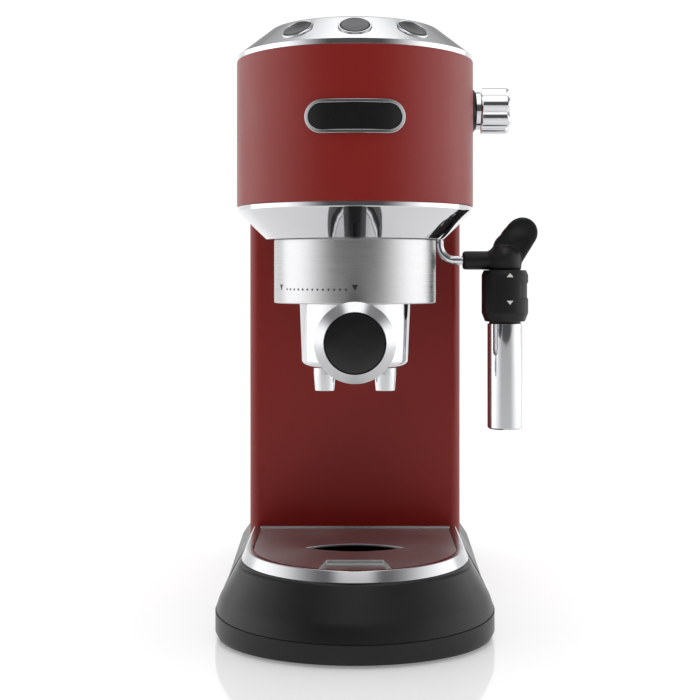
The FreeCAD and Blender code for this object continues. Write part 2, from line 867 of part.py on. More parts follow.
def head_frame():
    back = column_back - rear_panel_thick - frame_gap
    shelf = prism(round_front(shelf_half, 0, back, shelf_bottom), shelf_thick)
    band_reach = head_half - sheet - seat_gap
    panel_reach = column_half - sheet - seat_gap
    tabs = []
    for y, reach in ((0.0, band_reach), (column_front + column_depth / 2, panel_reach)):
        low = Vec(-reach, y, head_bottom + seat_gap)
        strap = Part.makeBox(2 * reach, tab_length, tab_height, low)
        between = 2 * (shelf_half - tab_root)
        tabs.append(strap.cut(block(-between / 2, between / 2, y, y + tab_length, 0, FAR)))
    post_x = valve_inner + post_inset
    post_back = knob_y + valve_half
    post = block(post_x, post_x + post_width, post_back - post_width, post_back,
                 shelf_bottom, knob_z - valve_half)
    frame = fused(shelf, post, *tabs)
    holes = [rod(heater_spigot + seat_gap, Vec(0, 0, shelf_bottom), Vec(0, 0, shelf_top))]
    holes.append(rod(nipple_radius + hose_wall + hose_play, Vec(0, pump_y, 0), Vec(0, pump_y, FAR)))
    holes.append(rod(steam_pipe_radius + seat_gap, Vec(wand_x, knob_y, 0), Vec(wand_x, knob_y, FAR)))
    holes += [rod(group_screw_radius + seat_gap, at, at + UP * FAR) for at in group_screw_places(0)]
    return frame.cut(holes)


def head_band():
    outer = prism(round_front(head_half, 0, column_back, head_bottom), head_height)
    inner = prism(round_front(head_half - sheet, 0, FAR, head_bottom), head_height)
    hole = rod(stem_hole, Vec(0, knob_y, knob_z), Vec(FAR, knob_y, knob_z))
    return outer.cut([inner, hole])


def skirt_form(inset, bottom, top, back):
    lip = head_half - skirt_inset - inset
    low = skirt_half - inset
    shoulder = head_bottom - skirt_lip
    upper = prism(round_front(lip, 0, back, shoulder), top - shoulder)
    slope = loft(round_front(low, 0, back, bottom, low + skirt_flare), round_front(lip, 0, back, shoulder))
    return fused(upper, slope)


def head_skirt():
    outer = skirt_form(0, skirt_bottom, head_bottom, column_front)
    inner = skirt_form(skirt_wall, skirt_bottom + skirt_wall, head_bottom + skirt_wall,
                       column_front + skirt_wall)
    group_hole = rod(ring_radius - ring_wall + seat_gap, Vec(0, 0, 0), Vec(0, 0, FAR))
    wand_hole = rod(socket_mouth, Vec(wand_x, knob_y, 0), Vec(wand_x, knob_y, FAR))
    return outer.cut([inner, group_hole, wand_hole])


def cover_radius(z, depth=0.0):
    return cover_half - (z - cover_shoulder) * cover_run / cover_rise - depth * cover_slope / cover_rise


def cover_form(depth, bottom, top, back):
    # Solid under the sloping cover surface, moved inwards by depth
    half = cover_half - depth
    turn = cover_shoulder + (cover_radius(cover_shoulder, depth) - half) * cover_rise / cover_run
    lip = prism(round_front(half, 0, back, bottom), turn - bottom)
    slope = loft(round_front(half, 0, back, turn), round_front(cover_radius(top, depth), 0, back, top))
    return fused(lip, slope)


def button_axis(degrees):
    outward = cover_rise / cover_slope
    upward = cover_run / cover_slope
    return polar(outward, degrees, upward)


def button_place(degrees, depth):
    # Point on the slope at a button's centre, depth below the surface
    z = cover_shoulder + cover_rise * button_along
    return polar(cover_radius(z), degrees, z) - button_axis(degrees) * depth


def top_cover():
    outer = cover_form(0, head_top, machine_top, column_back)
    inner = cover_form(cover_wall, head_top, machine_top - cover_wall, column_back - cover_back_wall)
    back = column_back - warmer_back_gap
    seat = prism(round_front(warmer_half, 0, back, machine_top - warmer_depth), FAR)
    hole = prism(round_front(warmer_half - warmer_ledge, 0, back - warmer_ledge, head_top), FAR)
    bore = button_radius + slip + button_bezel_width + badge_gap
    reach = 2 * cover_wall
    bores = [rod(bore, button_place(a, reach), button_place(a, -reach)) for a in button_angles]
    return outer.cut([inner, seat, hole] + bores)


def button_bezels():
    inner = button_radius + slip
    outer = inner + button_bezel_width
    return [tube(outer, inner, button_place(a, cover_wall), button_place(a, -button_bezel_proud))
            for a in button_angles]


def cup_warmer():
    half = warmer_half - seat_gap
    back = column_back - warmer_back_gap - seat_gap
    return prism(round_front(half, 0, back, machine_top - warmer_depth), warmer_thick)


def button(degrees):
    axis = button_axis(degrees)
    flange_top = cover_wall + slip + button_relief
    flange_low = flange_top + button_flange_thick
    cap = rod(button_radius, button_place(degrees, flange_low), button_place(degrees, -button_proud))
    flange = rod(button_radius + button_flange, button_place(degrees, flange_low),
                 button_place(degrees, flange_top))
    stem = rod(button_stem_radius, button_place(degrees, flange_low + button_stem_length),
               button_place(degrees, flange_low))
    bowl = (button_radius ** 2 + button_dish ** 2) / (2 * button_dish)
    dish = Part.makeSphere(bowl, button_place(degrees, -button_proud) + axis * (bowl - button_dish))
    return fused(cap, flange, stem).cut(dish)


def switch_depth_top():
    stem_end = cover_wall + slip + button_relief + button_flange_thick + button_stem_length
    return stem_end + button_travel + slip


def button_switches():
    switches = []
    for degrees in button_angles:
        top = switch_depth_top()
        low = top + switch_pin_height + switch_height
        body = rod(switch_half, button_place(degrees, low), button_place(degrees, top + switch_pin_height))
        pin = rod(switch_pin_radius, button_place(degrees, low), button_place(degrees, top))
        switches.append(fused(body, pin))
    return switches


def button_carrier():
    depth = switch_depth_top() + switch_pin_height + switch_height
    rim = head_half - sheet - seat_gap
    top = machine_top - cover_wall - 2 * carrier_rim
    foot = cover_shoulder - (rim - cover_radius(cover_shoulder, depth)) * cover_rise / cover_run
    sheet_top = loft(round_front(rim, 0, column_front, foot),
                     round_front(cover_radius(top, depth), 0, column_front, top))
    inner_depth = depth + carrier_thick
    inner_foot = foot - bite
    sheet_low = loft(round_front(cover_radius(inner_foot, inner_depth), 0, FAR, inner_foot),
                     round_front(cover_radius(top, inner_depth), 0, FAR, top))
    band = prism(round_front(rim, 0, column_front, foot - carrier_rim), carrier_rim)
    bore = prism(round_front(rim - carrier_thick, 0, FAR, foot - carrier_rim), carrier_rim)
    cone = sheet_top.cut(sheet_low)
    ahead = block(-FAR, FAR, -FAR, carrier_back, 0, FAR)
    return fused(cone, band.cut(bore)).common(ahead)


def control_board():
    outer = board_inset - head_half
    face = outer + board_thick
    board = block(outer, face, board_front, board_front + board_length, shelf_top, shelf_top + board_height)
    blocks = []
    for index, width in enumerate(board_parts):
        y = board_front + board_part_edge + index * board_part_pitch
        z = shelf_top + board_part_edge
        blocks.append(block(face - bite, face + board_part_depth, y, y + width, z, z + width))
    return fused(board, *blocks)


def stadium(half, half_height):
    z = head_bottom + badge_height
    flat = half - half_height
    ends = [rod(half_height, Vec(side * flat, -FAR, z), Vec(side * flat, 0, z)) for side in (-1, 1)]
    return fused(block(-flat, flat, -FAR, 0, z - half_height, z + half_height), *ends)


def curved_plate(half, half_height, proud):
    low = Vec(0, 0, head_bottom)
    high = Vec(0, 0, head_top)
    return stadium(half, half_height).common(tube(head_half + proud, head_half + badge_gap, low, high))


def badge_rim():
    outer = curved_plate(badge_half, badge_half_height, badge_rim_proud)
    return outer.cut(stadium(badge_half - badge_rim_width, badge_half_height - badge_rim_width))


def badge_plate():
    inset = badge_rim_width + badge_gap
    return curved_plate(badge_half - inset, badge_half_height - inset, badge_plate_proud)


# Brew group

def group_ring():
    inner = ring_radius - ring_wall
    points = [(ring_radius - ring_lip, 0), (ring_radius, 0), (ring_radius, ring_height), (inner, ring_height),
              (inner, ring_lip_thick), (ring_radius - ring_lip, ring_lip_thick)]
    ring = turned(points, Vec(0, 0, ring_bottom))
    at_bottom = at_level(ring_bottom)
    return rounded(ring, ring_round, lambda edge: at_bottom(edge) and edge.BoundBox.XMax > ring_radius - bite)


def sector(radius, degrees, centre_degrees, z0, z1):
    wedge = Part.makeCylinder(radius, z1 - z0, Vec(0, 0, z0), UP, degrees)
    wedge.rotate(Vec(0, 0, 0), UP, centre_degrees - degrees / 2)
    return wedge


def group_head():
    channel_bore = lug_reach + lug_play
    body = rod(group_outer, Vec(0, 0, group_floor), Vec(0, 0, shelf_bottom))
    cuts = [rod(filter_rim_radius + filter_play, Vec(0, 0, group_floor), Vec(0, 0, pocket_top)),
            rod(channel_bore, Vec(0, 0, channel_floor), Vec(0, 0, gasket_floor)),
            rod(nipple_radius, Vec(0, 0, pocket_top), Vec(0, 0, FAR))]
    slot_angle = lug_angle + lug_slot_spare
    for side in (0, 180):
        cuts.append(sector(channel_bore, slot_angle, side - insert_turn, group_floor, channel_floor))
    for at in group_screw_places(shelf_bottom):
        cuts.append(rod(group_screw_radius, at - UP * group_screw_depth, at))
    return body.cut(cuts)


def group_screw_places(z):
    return [polar(group_screw_circle, 45 + 90 * index, z) for index in range(4)]


def group_screws():
    tip = shelf_bottom - group_screw_depth + seat_gap
    screws = []
    for seat in group_screw_places(heater_bottom + heater_flange):
        shank = rod(group_screw_radius, Vec(seat.x, seat.y, tip), seat)
        head = rod(group_screw_head, seat, seat + UP * group_screw_head_height)
        screws.append(fused(shank, head))
    return screws


def gasket_bottom():
    return rim_level + basket_rim_thick + slip


def group_gasket():
    outer = filter_rim_radius + filter_play - seat_gap
    return tube(outer, outer - gasket_width, Vec(0, 0, gasket_bottom()), Vec(0, 0, pocket_top))


def hole_pattern(radius, z0, z1):
    holes = [rod(radius, Vec(0, 0, z0), Vec(0, 0, z1))]
    for ring in range(1, screen_rings + 1):
        count = screen_holes_per_ring * ring
        for index in range(count):
            at = polar(screen_ring_step * ring, 360 * index / count)
            holes.append(rod(radius, at + UP * z0, at + UP * z1))
    return holes


def shower_screen():
    radius = filter_rim_radius + filter_play - gasket_width - 2 * seat_gap
    disc = rod(radius, Vec(0, 0, pocket_top - screen_thick), Vec(0, 0, pocket_top))
    return disc.cut(hole_pattern(screen_hole, pocket_top - screen_thick, pocket_top))


def portafilter():
    foot = bowl_bottom
    floor = foot + bowl_floor
    points = [(0, foot), (filter_rim_radius - bowl_taper, foot), (filter_rim_radius, ring_bottom),
              (filter_rim_radius, rim_level), (bowl_inner, rim_level), (bowl_inner, floor), (0, floor)]
    bowl = rounded(turned(points, Vec(0, 0, 0)), bowl_round, at_level(foot))
    lugs = [sector(lug_reach, lug_angle, side, lug_bottom, lug_bottom + lug_height) for side in (0, 180)]
    tang = grip_start + tang_length
    neck = turned([(0, 0), (neck_root_radius, 0), (neck_root_radius, bowl_inner), (neck_radius, neck_end),
                   (collar_radius, neck_end + neck_cone), (collar_radius, grip_start),
                   (tang_radius, grip_start), (tang_radius, tang), (0, tang)],
                  Vec(0, 0, handle_axis), BACK * -1)
    cavity = rod(bowl_inner + bite, Vec(0, 0, 0), Vec(0, 0, FAR))
    joined_parts = [part.cut(cavity) for part in lugs + [neck]]
    outlets = [rod(spout_bore, Vec(side * spout_x, 0, 0), Vec(side * spout_x, 0, FAR)) for side in (-1, 1)]
    return fused(bowl, *joined_parts).cut(outlets)


def filter_basket():
    outer = bowl_inner - basket_play
    top = rim_level + basket_rim_thick
    bottom = rim_level - basket_depth
    inner = outer - basket_wall
    floor = bottom + basket_wall
    points = [(0, bottom), (outer, bottom), (outer, rim_level), (filter_rim_radius, rim_level),
              (filter_rim_radius, top), (inner, top), (inner, floor), (0, floor)]
    cup = turned(points, Vec(0, 0, 0))
    return cup.cut(hole_pattern(basket_hole, bottom, floor))


def twin_spout():
    top = bowl_bottom
    low = top - spout_bar_height
    bar = block(-spout_x, spout_x, -spout_top_radius, spout_top_radius, low, top)
    parts = []
    for side in (-1, 1):
        at = Vec(side * spout_x, 0, 0)
        parts.append(turned([(0, top - spout_length), (spout_tip_radius, top - spout_length),
                             (spout_top_radius, low), (spout_top_radius, top), (0, top)], at))
    body = fused(bar, *parts)
    bores = [rod(spout_bore, Vec(side * spout_x, 0, 0), Vec(side * spout_x, 0, FAR)) for side in (-1, 1)]
    return body.cut(bores)


def handle_grip():
    base = Vec(0, 0, handle_axis)
    bore = tang_radius + seat_gap
    bore_end = grip_start + tang_length + seat_gap
    points = [(bore, grip_start), (grip_root_radius, grip_start),
              (grip_belly_radius, grip_start + grip_belly), (grip_belly_radius - grip_end_taper, grip_end),
              (0, grip_end), (0, bore_end), (bore, bore_end)]
    return turned(points, base, BACK * -1)


def handle_end_ring():
    front = grip_end + end_ring_length
    mouth = end_cap_radius + seat_gap
    floor = front - end_cap_depth
    points = [(0, grip_end), (grip_belly_radius, grip_end), (end_ring_radius, front - end_ring_bevel),
              (end_ring_face, front), (mouth, front), (mouth, floor), (0, floor)]
    return turned(points, Vec(0, 0, handle_axis), BACK * -1)


def handle_end_cap():
    front = grip_end + end_ring_length
    points = [(0, front - end_cap_depth), (end_cap_radius, front - end_cap_depth), (end_cap_radius, front),
              (end_cap_radius - end_cap_bevel, front + end_cap_proud), (0, front + end_cap_proud)]
    return turned(points, Vec(0, 0, handle_axis), BACK * -1)


# Heater, pump and water path

def heater_block():
    flange_top = heater_bottom + heater_flange
    points = [(0, shelf_bottom), (heater_spigot, shelf_bottom), (heater_spigot, heater_bottom),
              (heater_flange_radius, heater_bottom), (heater_flange_radius, flange_top),
              (heater_radius, flange_top), (heater_radius, heater_top), (0, heater_top)]
    body = turned(points, Vec(0, 0, 0))
    inlet_z = heater_bottom + heater_inlet_height
    inlet = rod(nipple_radius, Vec(0, 0, inlet_z), Vec(0, heater_radius + nipple_length, inlet_z))
    holes = [rod(group_screw_radius + seat_gap, at, at + UP * FAR) for at in group_screw_places(0)]
    for seat in group_screw_places(flange_top):
        holes.append(rod(group_screw_head + seat_gap, seat, seat + UP * FAR))
    return fused(body, inlet).cut(holes)


def pump_body():
    low = Vec(0, pump_y, pump_bottom)
    high = Vec(0, pump_y, pump_top)
    body = rod(pump_radius, low, high)
    nipples = rod(nipple_radius, low - UP * nipple_length, high + UP * nipple_length)
    half = plunger_room / 2
    room = rod(pump_bore, Vec(0, pump_y, pump_middle - half), Vec(0, pump_y, pump_middle + half))
    way = rod(nipple_radius / 2, low - UP * nipple_length, high + UP * nipple_length)
    return fused(body, nipples).cut([room, way])


def pump_plunger():
    half = plunger_length / 2
    radius = pump_bore - slip
    plunger = rod(radius, Vec(0, pump_y, pump_middle - half), Vec(0, pump_y, pump_middle + half))
    return plunger.cut(rod(nipple_radius / 2, Vec(0, pump_y, 0), Vec(0, pump_y, FAR)))


def pump_coil():
    low = pump_middle - coil_height / 2
    coil = block(-coil_half, coil_half, pump_y - coil_half, pump_y + coil_half, low, low + coil_height)
    return coil.cut(rod(pump_radius + seat_gap, Vec(0, pump_y, 0), Vec(0, pump_y, FAR)))


def pump_dampers():
    rings = []
    for shelf in (shelf_low, shelf_high):
        middle = shelf + (frame_wall + damper_groove) / 2
        low = Vec(0, pump_y, middle - damper_height / 2)
        outer = pump_radius + damper_width
        rings.append(tube(outer - seat_gap, pump_radius + seat_gap / 2, low, low + UP * damper_height))
    return rings


def flow_meter():
    low = Vec(0, pump_y, column_seat)
    body = rod(flow_radius, low, low + UP * flow_height)
    nipples = rod(nipple_radius, low - UP * meter_nipple, low + UP * (flow_height + nipple_length))
    return fused(body, nipples)


def water_hoses():
    inner = nipple_radius + seat_gap / 4
    outer = inner + hose_wall
    barb_root = coupling_y() - coupling_radius
    suction_bend = column_seat - barb_z - meter_nipple - hose_gap
    suction = bent_tube([Vec(0, barb_root - hose_gap, barb_z), Vec(0, pump_y, barb_z),
                         Vec(0, pump_y, column_seat - hose_gap)], outer, inner, suction_bend)
    meter_top = column_seat + flow_height
    feed = tube(outer, inner, Vec(0, pump_y, meter_top + hose_gap), Vec(0, pump_y, pump_bottom - hose_gap))
    inlet_z = heater_bottom + heater_inlet_height
    pressure = bent_tube([Vec(0, pump_y, pump_top + hose_gap), Vec(0, pump_y, inlet_z),
                          Vec(0, heater_radius + hose_gap, inlet_z)], outer, inner, pressure_bend)
    return [suction, feed, pressure]


# Steam path

def steam_valve():
    low = knob_z - valve_half
    body = block(valve_inner, valve_inner + valve_length, knob_y - valve_half, knob_y + valve_half, low,
                 knob_z + valve_half)
    face = valve_inner + valve_length
    bore_end = Vec(face - stem_in_valve - slip, knob_y, knob_z)
    bore = rod(stem_radius + running_fit, bore_end, bore_end + RIGHT * FAR)
    return body.cut(bore)


def steam_lines():
    feed = bent_rod([Vec(0, heater_steam_y, heater_top), Vec(0, heater_steam_y, knob_z),
                     Vec(steam_corner_x, knob_y, knob_z), Vec(valve_inner, knob_y, knob_z)],
                    steam_pipe_radius, steam_bend)
    low = Vec(wand_x, knob_y, shelf_bottom)
    outlet = rod(steam_pipe_radius, low, Vec(wand_x, knob_y, knob_z - valve_half))
    return [feed, outlet]


def knob_bezel():
    start = Vec(head_half, knob_y, knob_z)
    return tube(bezel_radius, stem_radius + bezel_play, start, start + RIGHT * bezel_thick)


def knob_start():
    return head_half + bezel_thick + slip


def valve_stem():
    inner = valve_inner + valve_length - stem_in_valve
    outer = knob_start() + knob_collar_length + stem_in_knob
    return rod(stem_radius, Vec(inner, knob_y, knob_z), Vec(outer, knob_y, knob_z))


def steam_knob():
    axis = Vec(0, knob_y, knob_z)
    start = knob_start()
    front = start + knob_collar_length
    core = rod(knob_core, axis + RIGHT * front, axis + RIGHT * (front + knob_length - knob_round))
    lobes = []
    for index in range(knob_lobes):
        angle = 2 * math.pi * index / knob_lobes
        at = axis + Vec(0, -math.cos(angle), math.sin(angle)) * lobe_circle
        lobe = rod(lobe_radius, at + RIGHT * front, at + RIGHT * (front + knob_length))
        tip = front + knob_length
        lobes.append(rounded(lobe, knob_round, lambda edge: abs(edge.BoundBox.XMin - tip) < 1e-4))
    collar = rod(knob_collar_radius, axis + RIGHT * start, axis + RIGHT * front)
    bore = rod(stem_radius, axis, axis + RIGHT * (front + stem_in_knob))
    return fused(collar, core, *lobes).cut(bore)


def wand_socket():
    top = Vec(wand_x, knob_y, shelf_bottom)
    body = rod(socket_radius, top - UP * socket_height, top)
    cup = Part.makeSphere(ball_radius + slip, Vec(wand_x, knob_y, ball_z))
    mouth = rod(socket_mouth, top - UP * socket_height, Vec(wand_x, knob_y, ball_z))
    way = rod(steam_pipe_radius / 2, Vec(wand_x, knob_y, ball_z), top)
    return body.cut([cup, mouth, way])


def wand_pipe():
    pivot = Vec(wand_x, knob_y, ball_z)
    corner = Vec(wand_x, knob_y, wand_z)
    end = corner + RIGHT * (grip_inner + wand_in_grip)
    pipe = bent_rod([pivot, corner, end], wand_radius, wand_bend)
    return fused(pipe, Part.makeSphere(ball_radius, pivot))


def wand_grip():
    start = Vec(wand_x + grip_inner, knob_y, wand_z)
    axis = Vec(frother_x, knob_y, 0)
    arm = rod(grip_radius, start, Vec(frother_x, knob_y, wand_z))
    hub = rod(hub_radius, axis + UP * grip_bottom, axis + UP * (wand_z + hub_above))
    hub = rounded(hub, hub_round, at_level(wand_z + hub_above))
    half = BACK * (paddle_thick / 2)
    root = Vec(frother_x, knob_y, wand_z)
    tip = root + Vec(paddle_out, 0, paddle_up)
    ends = [rod(paddle_radius, at - half, at + half) for at in (root, tip)]
    along = (tip - root).normalize()
    across = Vec(-along.z, 0, along.x) * paddle_radius
    corners = [root + across - half, tip + across - half, tip - across - half, root - across - half]
    leaf = Part.Face(Part.makePolygon(corners + corners[:1])).extrude(half * 2)
    above = block(-FAR, FAR, -FAR, FAR, grip_bottom, FAR)
    paddle = fused(leaf, *ends).common(above)
    dish = Part.makeSphere(dish_radius, tip - half - BACK * (dish_radius - dish_depth))
    bore = rod(wand_radius + seat_gap / 4, start, start + RIGHT * (wand_in_grip + seat_gap))
    return fused(arm, hub, paddle).cut([dish, bore])


def frother_core():
    top = grip_bottom
    shoulder = top - core_length
    tip = shoulder - nozzle_length
    points = [(core_bore, tip), (nozzle_radius, tip), (nozzle_radius, shoulder), (core_radius, shoulder),
              (core_radius, top), (core_bore, top)]
    return turned(points, Vec(frother_x, knob_y, 0))


def collar_top():
    return grip_bottom - slip


def frother_collar():
    top = collar_top()
    foot = top - collar_height
    inner = core_radius + slip
    points = [(collar_skirt_bore, foot), (collar_outer - collar_foot_bevel, foot),
              (collar_outer, foot + collar_foot_bevel_height), (collar_outer, top - collar_top_bevel_height),
              (collar_outer - collar_top_bevel, top), (inner, top), (inner, foot + collar_skirt_height),
              (collar_skirt_bore, foot + collar_skirt_height)]
    return turned(points, Vec(frother_x, knob_y, 0))


def frother_sleeve():
    top = collar_top() - collar_height - sleeve_gap
    foot = top - sleeve_length
    inner = sleeve_outer - sleeve_wall
    rolled = inner - sleeve_rolled
    points = [(rolled, foot), (inner, foot), (sleeve_outer, foot + sleeve_wall), (sleeve_outer, top),
              (inner, top), (inner, foot + 2 * sleeve_wall), (rolled, foot + sleeve_wall)]
    return turned(points, Vec(frother_x, knob_y, 0))


# Water tank

def water_tank():
    height = tank_top - tank_bottom
    outer = prism(rounded_rectangle(tank_half, tank_front, tank_back, tank_front_corner, tank_back_corner,
                                    tank_bottom), height)
    inner = prism(rounded_rectangle(tank_half - tank_wall, tank_front + tank_wall, tank_back - tank_wall,
                                    tank_front_corner - tank_wall, tank_back_corner - tank_wall,
                                    tank_bottom + tank_floor), height)
    at = Vec(0, coupling_y(), tank_bottom)
    spigot = rod(spigot_radius, at - UP * spigot_length, at + UP * bite)
    ears = []
    for side in (-1, 1):
        x0 = knuckle_half + ear_gap if side > 0 else -knuckle_reach
        x1 = x0 + ear_width
        ear_low = hinge_z - ear_drop
        root = block(x0, x1, tank_back - tank_wall - tank_back_corner, hinge_y, ear_low, tank_top - slip)
        ear = block(x0, x1, tank_back, hinge_back, ear_low, hinge_z)
        eye = rod(knuckle_radius, Vec(x0, hinge_y, hinge_z), Vec(x1, hinge_y, hinge_z))
        ears.append(fused(root, ear, eye).cut(inner))
    body = fused(outer.cut(inner), spigot, *ears)
    pin_hole = rod(hinge_pin_radius + running_fit, Vec(-knuckle_reach, hinge_y, hinge_z),
                   Vec(knuckle_reach, hinge_y, hinge_z))
    return body.cut([pin_hole, rod(spigot_bore, at - UP * spigot_length, at + UP * tank_floor)])


def lid_form(inset, lift):
    low = tank_top + lid_seat + lift
    edge = tank_top + lid_seat + lid_edge
    top = edge + lid_rise - inset
    half = tank_half - inset
    front = tank_front + inset
    back = tank_back - inset
    front_corner = tank_front_corner - inset
    back_corner = tank_back_corner - inset
    skirt = prism(rounded_rectangle(half, front, back, front_corner, back_corner, low), edge - low)
    slope = loft(rounded_rectangle(half, front, back, front_corner, back_corner, edge),
                 rounded_rectangle(half - lid_inset, front, back - lid_inset, front_corner,
                                   lid_top_corner - inset, top))
    return fused(skirt, slope)


def tank_lid():
    outer = lid_form(0, 0)
    inner = lid_form(lid_wall, -lid_seat)
    knuckle = rod(knuckle_radius, Vec(-knuckle_half, hinge_y, hinge_z), Vec(knuckle_half, hinge_y, hinge_z))
    web_half = tank_half - tank_back_corner
    web = block(-web_half, web_half, tank_back - lid_wall, hinge_y, hinge_z, hinge_z + knuckle_radius)
    pins = rod(hinge_pin_radius, Vec(-knuckle_reach, hinge_y, hinge_z), Vec(knuckle_reach, hinge_y, hinge_z))
    return fused(outer.cut(inner), knuckle, web, pins)


def tank_coupling():
    top = Vec(0, coupling_y(), column_seat)
    body = rod(coupling_radius, top - UP * coupling_depth, top)
    roof = column_seat - base_wall
    seat = Vec(0, coupling_y(), roof)
    flange = rod(coupling_flange, seat - UP * coupling_flange_thick, seat)
    barb_end = Vec(0, coupling_y() - coupling_radius - nipple_length, barb_z)
    barb = rod(nipple_radius, barb_end, Vec(0, coupling_y(), barb_z))
    bore = rod(spigot_radius + slip, top - UP * coupling_bore_depth, top)
    return fused(body, flange, barb).cut(bore)


# Switch and cord entry

def switch_body(play):
    half = rocker_half + rocker_play + switch_wall + play
    half_height = rocker_half_height + rocker_play + switch_wall + play
    return block(switch_x - half, switch_x + half, base_back - switch_depth - play, base_back,
                 entry_z - half_height, entry_z + half_height)


def power_switch_housing():
    flange_half = rocker_half + rocker_play + switch_wall + switch_flange
    flange_height = rocker_half_height + rocker_play + switch_wall + switch_flange
    flange = block(switch_x - flange_half, switch_x + flange_half, base_back, base_back + switch_flange_thick,
                   entry_z - flange_height, entry_z + flange_height)
    half = rocker_half + rocker_play
    half_height = rocker_half_height + rocker_play
    pocket = block(switch_x - half, switch_x + half, base_back - switch_depth + switch_wall, FAR,
                   entry_z - half_height, entry_z + half_height)
    reach = half + rocker_pin_length
    pivots = rod(rocker_pin_radius + running_fit, Vec(switch_x - reach, base_back, entry_z),
                 Vec(switch_x + reach, base_back, entry_z))
    return fused(switch_body(0), flange).cut([pocket, pivots])


def power_rocker():
    front = base_back + switch_flange_thick
    tilt = rocker_half_height * math.tan(math.radians(rocker_tilt))
    deep = base_back - rocker_depth
    profile = [Vec(0, front + rocker_proud, entry_z + rocker_half_height),
               Vec(0, front + rocker_proud - tilt, entry_z),
               Vec(0, front + rocker_proud, entry_z - rocker_half_height),
               Vec(0, base_back, entry_z - rocker_half_height),
               Vec(0, deep, entry_z - rocker_half_height / 2),
               Vec(0, deep, entry_z + rocker_half_height / 2),
               Vec(0, base_back, entry_z + rocker_half_height)]
    body = Part.Face(Part.makePolygon(profile + profile[:1])).extrude(RIGHT * 2 * rocker_half)
    body.translate(RIGHT * (switch_x - rocker_half))
    reach = rocker_half + rocker_play + rocker_pin_length - slip
    pivot = Vec(switch_x, base_back, entry_z)
    rocker = fused(body, rod(rocker_pin_radius, pivot - RIGHT * reach, pivot + RIGHT * reach))
    rocker.rotate(pivot, RIGHT, -rocker_tilt)
    return rocker


def cord_gland():
    inner = Vec(entry_x, base_back - gland_depth, entry_z)
    face = Vec(entry_x, base_back, entry_z)
    outer = face + BACK * gland_flange_thick
    body = fused(rod(gland_radius, inner, face), rod(gland_flange, face, outer))
    return body.cut(rod(gland_bore, inner, outer))


os.makedirs("parts", exist_ok=True)

export("base_housing", base_shell())
export("bottom_plate", bottom_plate())
export("base_screws", *base_screws())
export("feet", *feet())
export("lower_tray", lower_tray())
export("drip_tray", drip_tray())
export("tray_trim", tray_trim())
export("cup_plate", cup_plate())
export("column_panel", column_panel())
export("rear_panel", rear_panel())
export("column_frame", column_frame())
export("head_frame", head_frame())
export("head_band", head_band())
export("head_skirt", head_skirt())
export("top_cover", top_cover())
export("cup_warmer", cup_warmer())
for side, degrees in zip(("left", "centre", "right"), button_angles):
    export("button_" + side, button(degrees))
export("button_bezels", *button_bezels())
export("button_switches", *button_switches())
export("button_carrier", button_carrier())
export("control_board", control_board())
export("badge_rim", badge_rim())
export("badge_plate", badge_plate())
export("group_ring", group_ring())
export("group_head", group_head())
export("group_screws", *group_screws())
export("group_gasket", group_gasket())
export("shower_screen", shower_screen())
export("portafilter_body", portafilter())
export("filter_basket", filter_basket())
export("twin_spout", twin_spout())
export("handle_grip", handle_grip())
export("handle_end_ring", handle_end_ring())
export("handle_end_cap", handle_end_cap())
export("heater_block", heater_block())
export("pump_body", pump_body())
export("pump_plunger", pump_plunger())
export("pump_coil", pump_coil())
export("pump_dampers", *pump_dampers())
export("flow_meter", flow_meter())
export("water_hoses", *water_hoses())
export("steam_valve", steam_valve())
export("steam_lines", *steam_lines())
export("knob_bezel", knob_bezel())
export("valve_stem", valve_stem())
export("steam_knob", steam_knob())
export("wand_socket", wand_socket())
export("wand_pipe", wand_pipe())
export("wand_grip", wand_grip())
export("frother_core", frother_core())
export("frother_collar", frother_collar())
export("frother_sleeve", frother_sleeve())
export("water_tank", water_tank())
export("tank_lid", tank_lid())
export("tank_coupling", tank_coupling())
export("power_switch_housing", power_switch_housing())
export("power_rocker", power_rocker())
export("cord_gland", cord_gland())
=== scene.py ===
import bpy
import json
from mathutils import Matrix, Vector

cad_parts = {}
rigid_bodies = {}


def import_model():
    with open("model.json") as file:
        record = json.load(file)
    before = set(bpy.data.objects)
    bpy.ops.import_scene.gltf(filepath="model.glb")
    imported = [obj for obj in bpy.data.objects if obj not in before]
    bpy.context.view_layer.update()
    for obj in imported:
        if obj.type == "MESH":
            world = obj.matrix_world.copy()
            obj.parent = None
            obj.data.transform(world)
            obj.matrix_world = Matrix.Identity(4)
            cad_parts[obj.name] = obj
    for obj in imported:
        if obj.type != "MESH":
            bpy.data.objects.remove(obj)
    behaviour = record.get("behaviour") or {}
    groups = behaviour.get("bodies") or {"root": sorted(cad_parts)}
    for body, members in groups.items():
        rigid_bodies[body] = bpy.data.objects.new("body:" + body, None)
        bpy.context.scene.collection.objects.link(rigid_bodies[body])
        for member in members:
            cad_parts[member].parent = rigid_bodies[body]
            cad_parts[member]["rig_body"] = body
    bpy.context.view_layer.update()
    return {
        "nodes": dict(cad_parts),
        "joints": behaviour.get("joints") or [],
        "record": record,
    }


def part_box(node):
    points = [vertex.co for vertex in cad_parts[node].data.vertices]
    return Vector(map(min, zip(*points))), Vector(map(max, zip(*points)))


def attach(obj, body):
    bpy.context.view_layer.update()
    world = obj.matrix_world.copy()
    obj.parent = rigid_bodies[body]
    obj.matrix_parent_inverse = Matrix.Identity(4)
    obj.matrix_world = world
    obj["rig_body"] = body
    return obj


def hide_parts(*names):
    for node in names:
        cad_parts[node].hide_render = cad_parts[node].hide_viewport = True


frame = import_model()

import json
import math

import bmesh
import bpy
from mathutils import Matrix, Vector

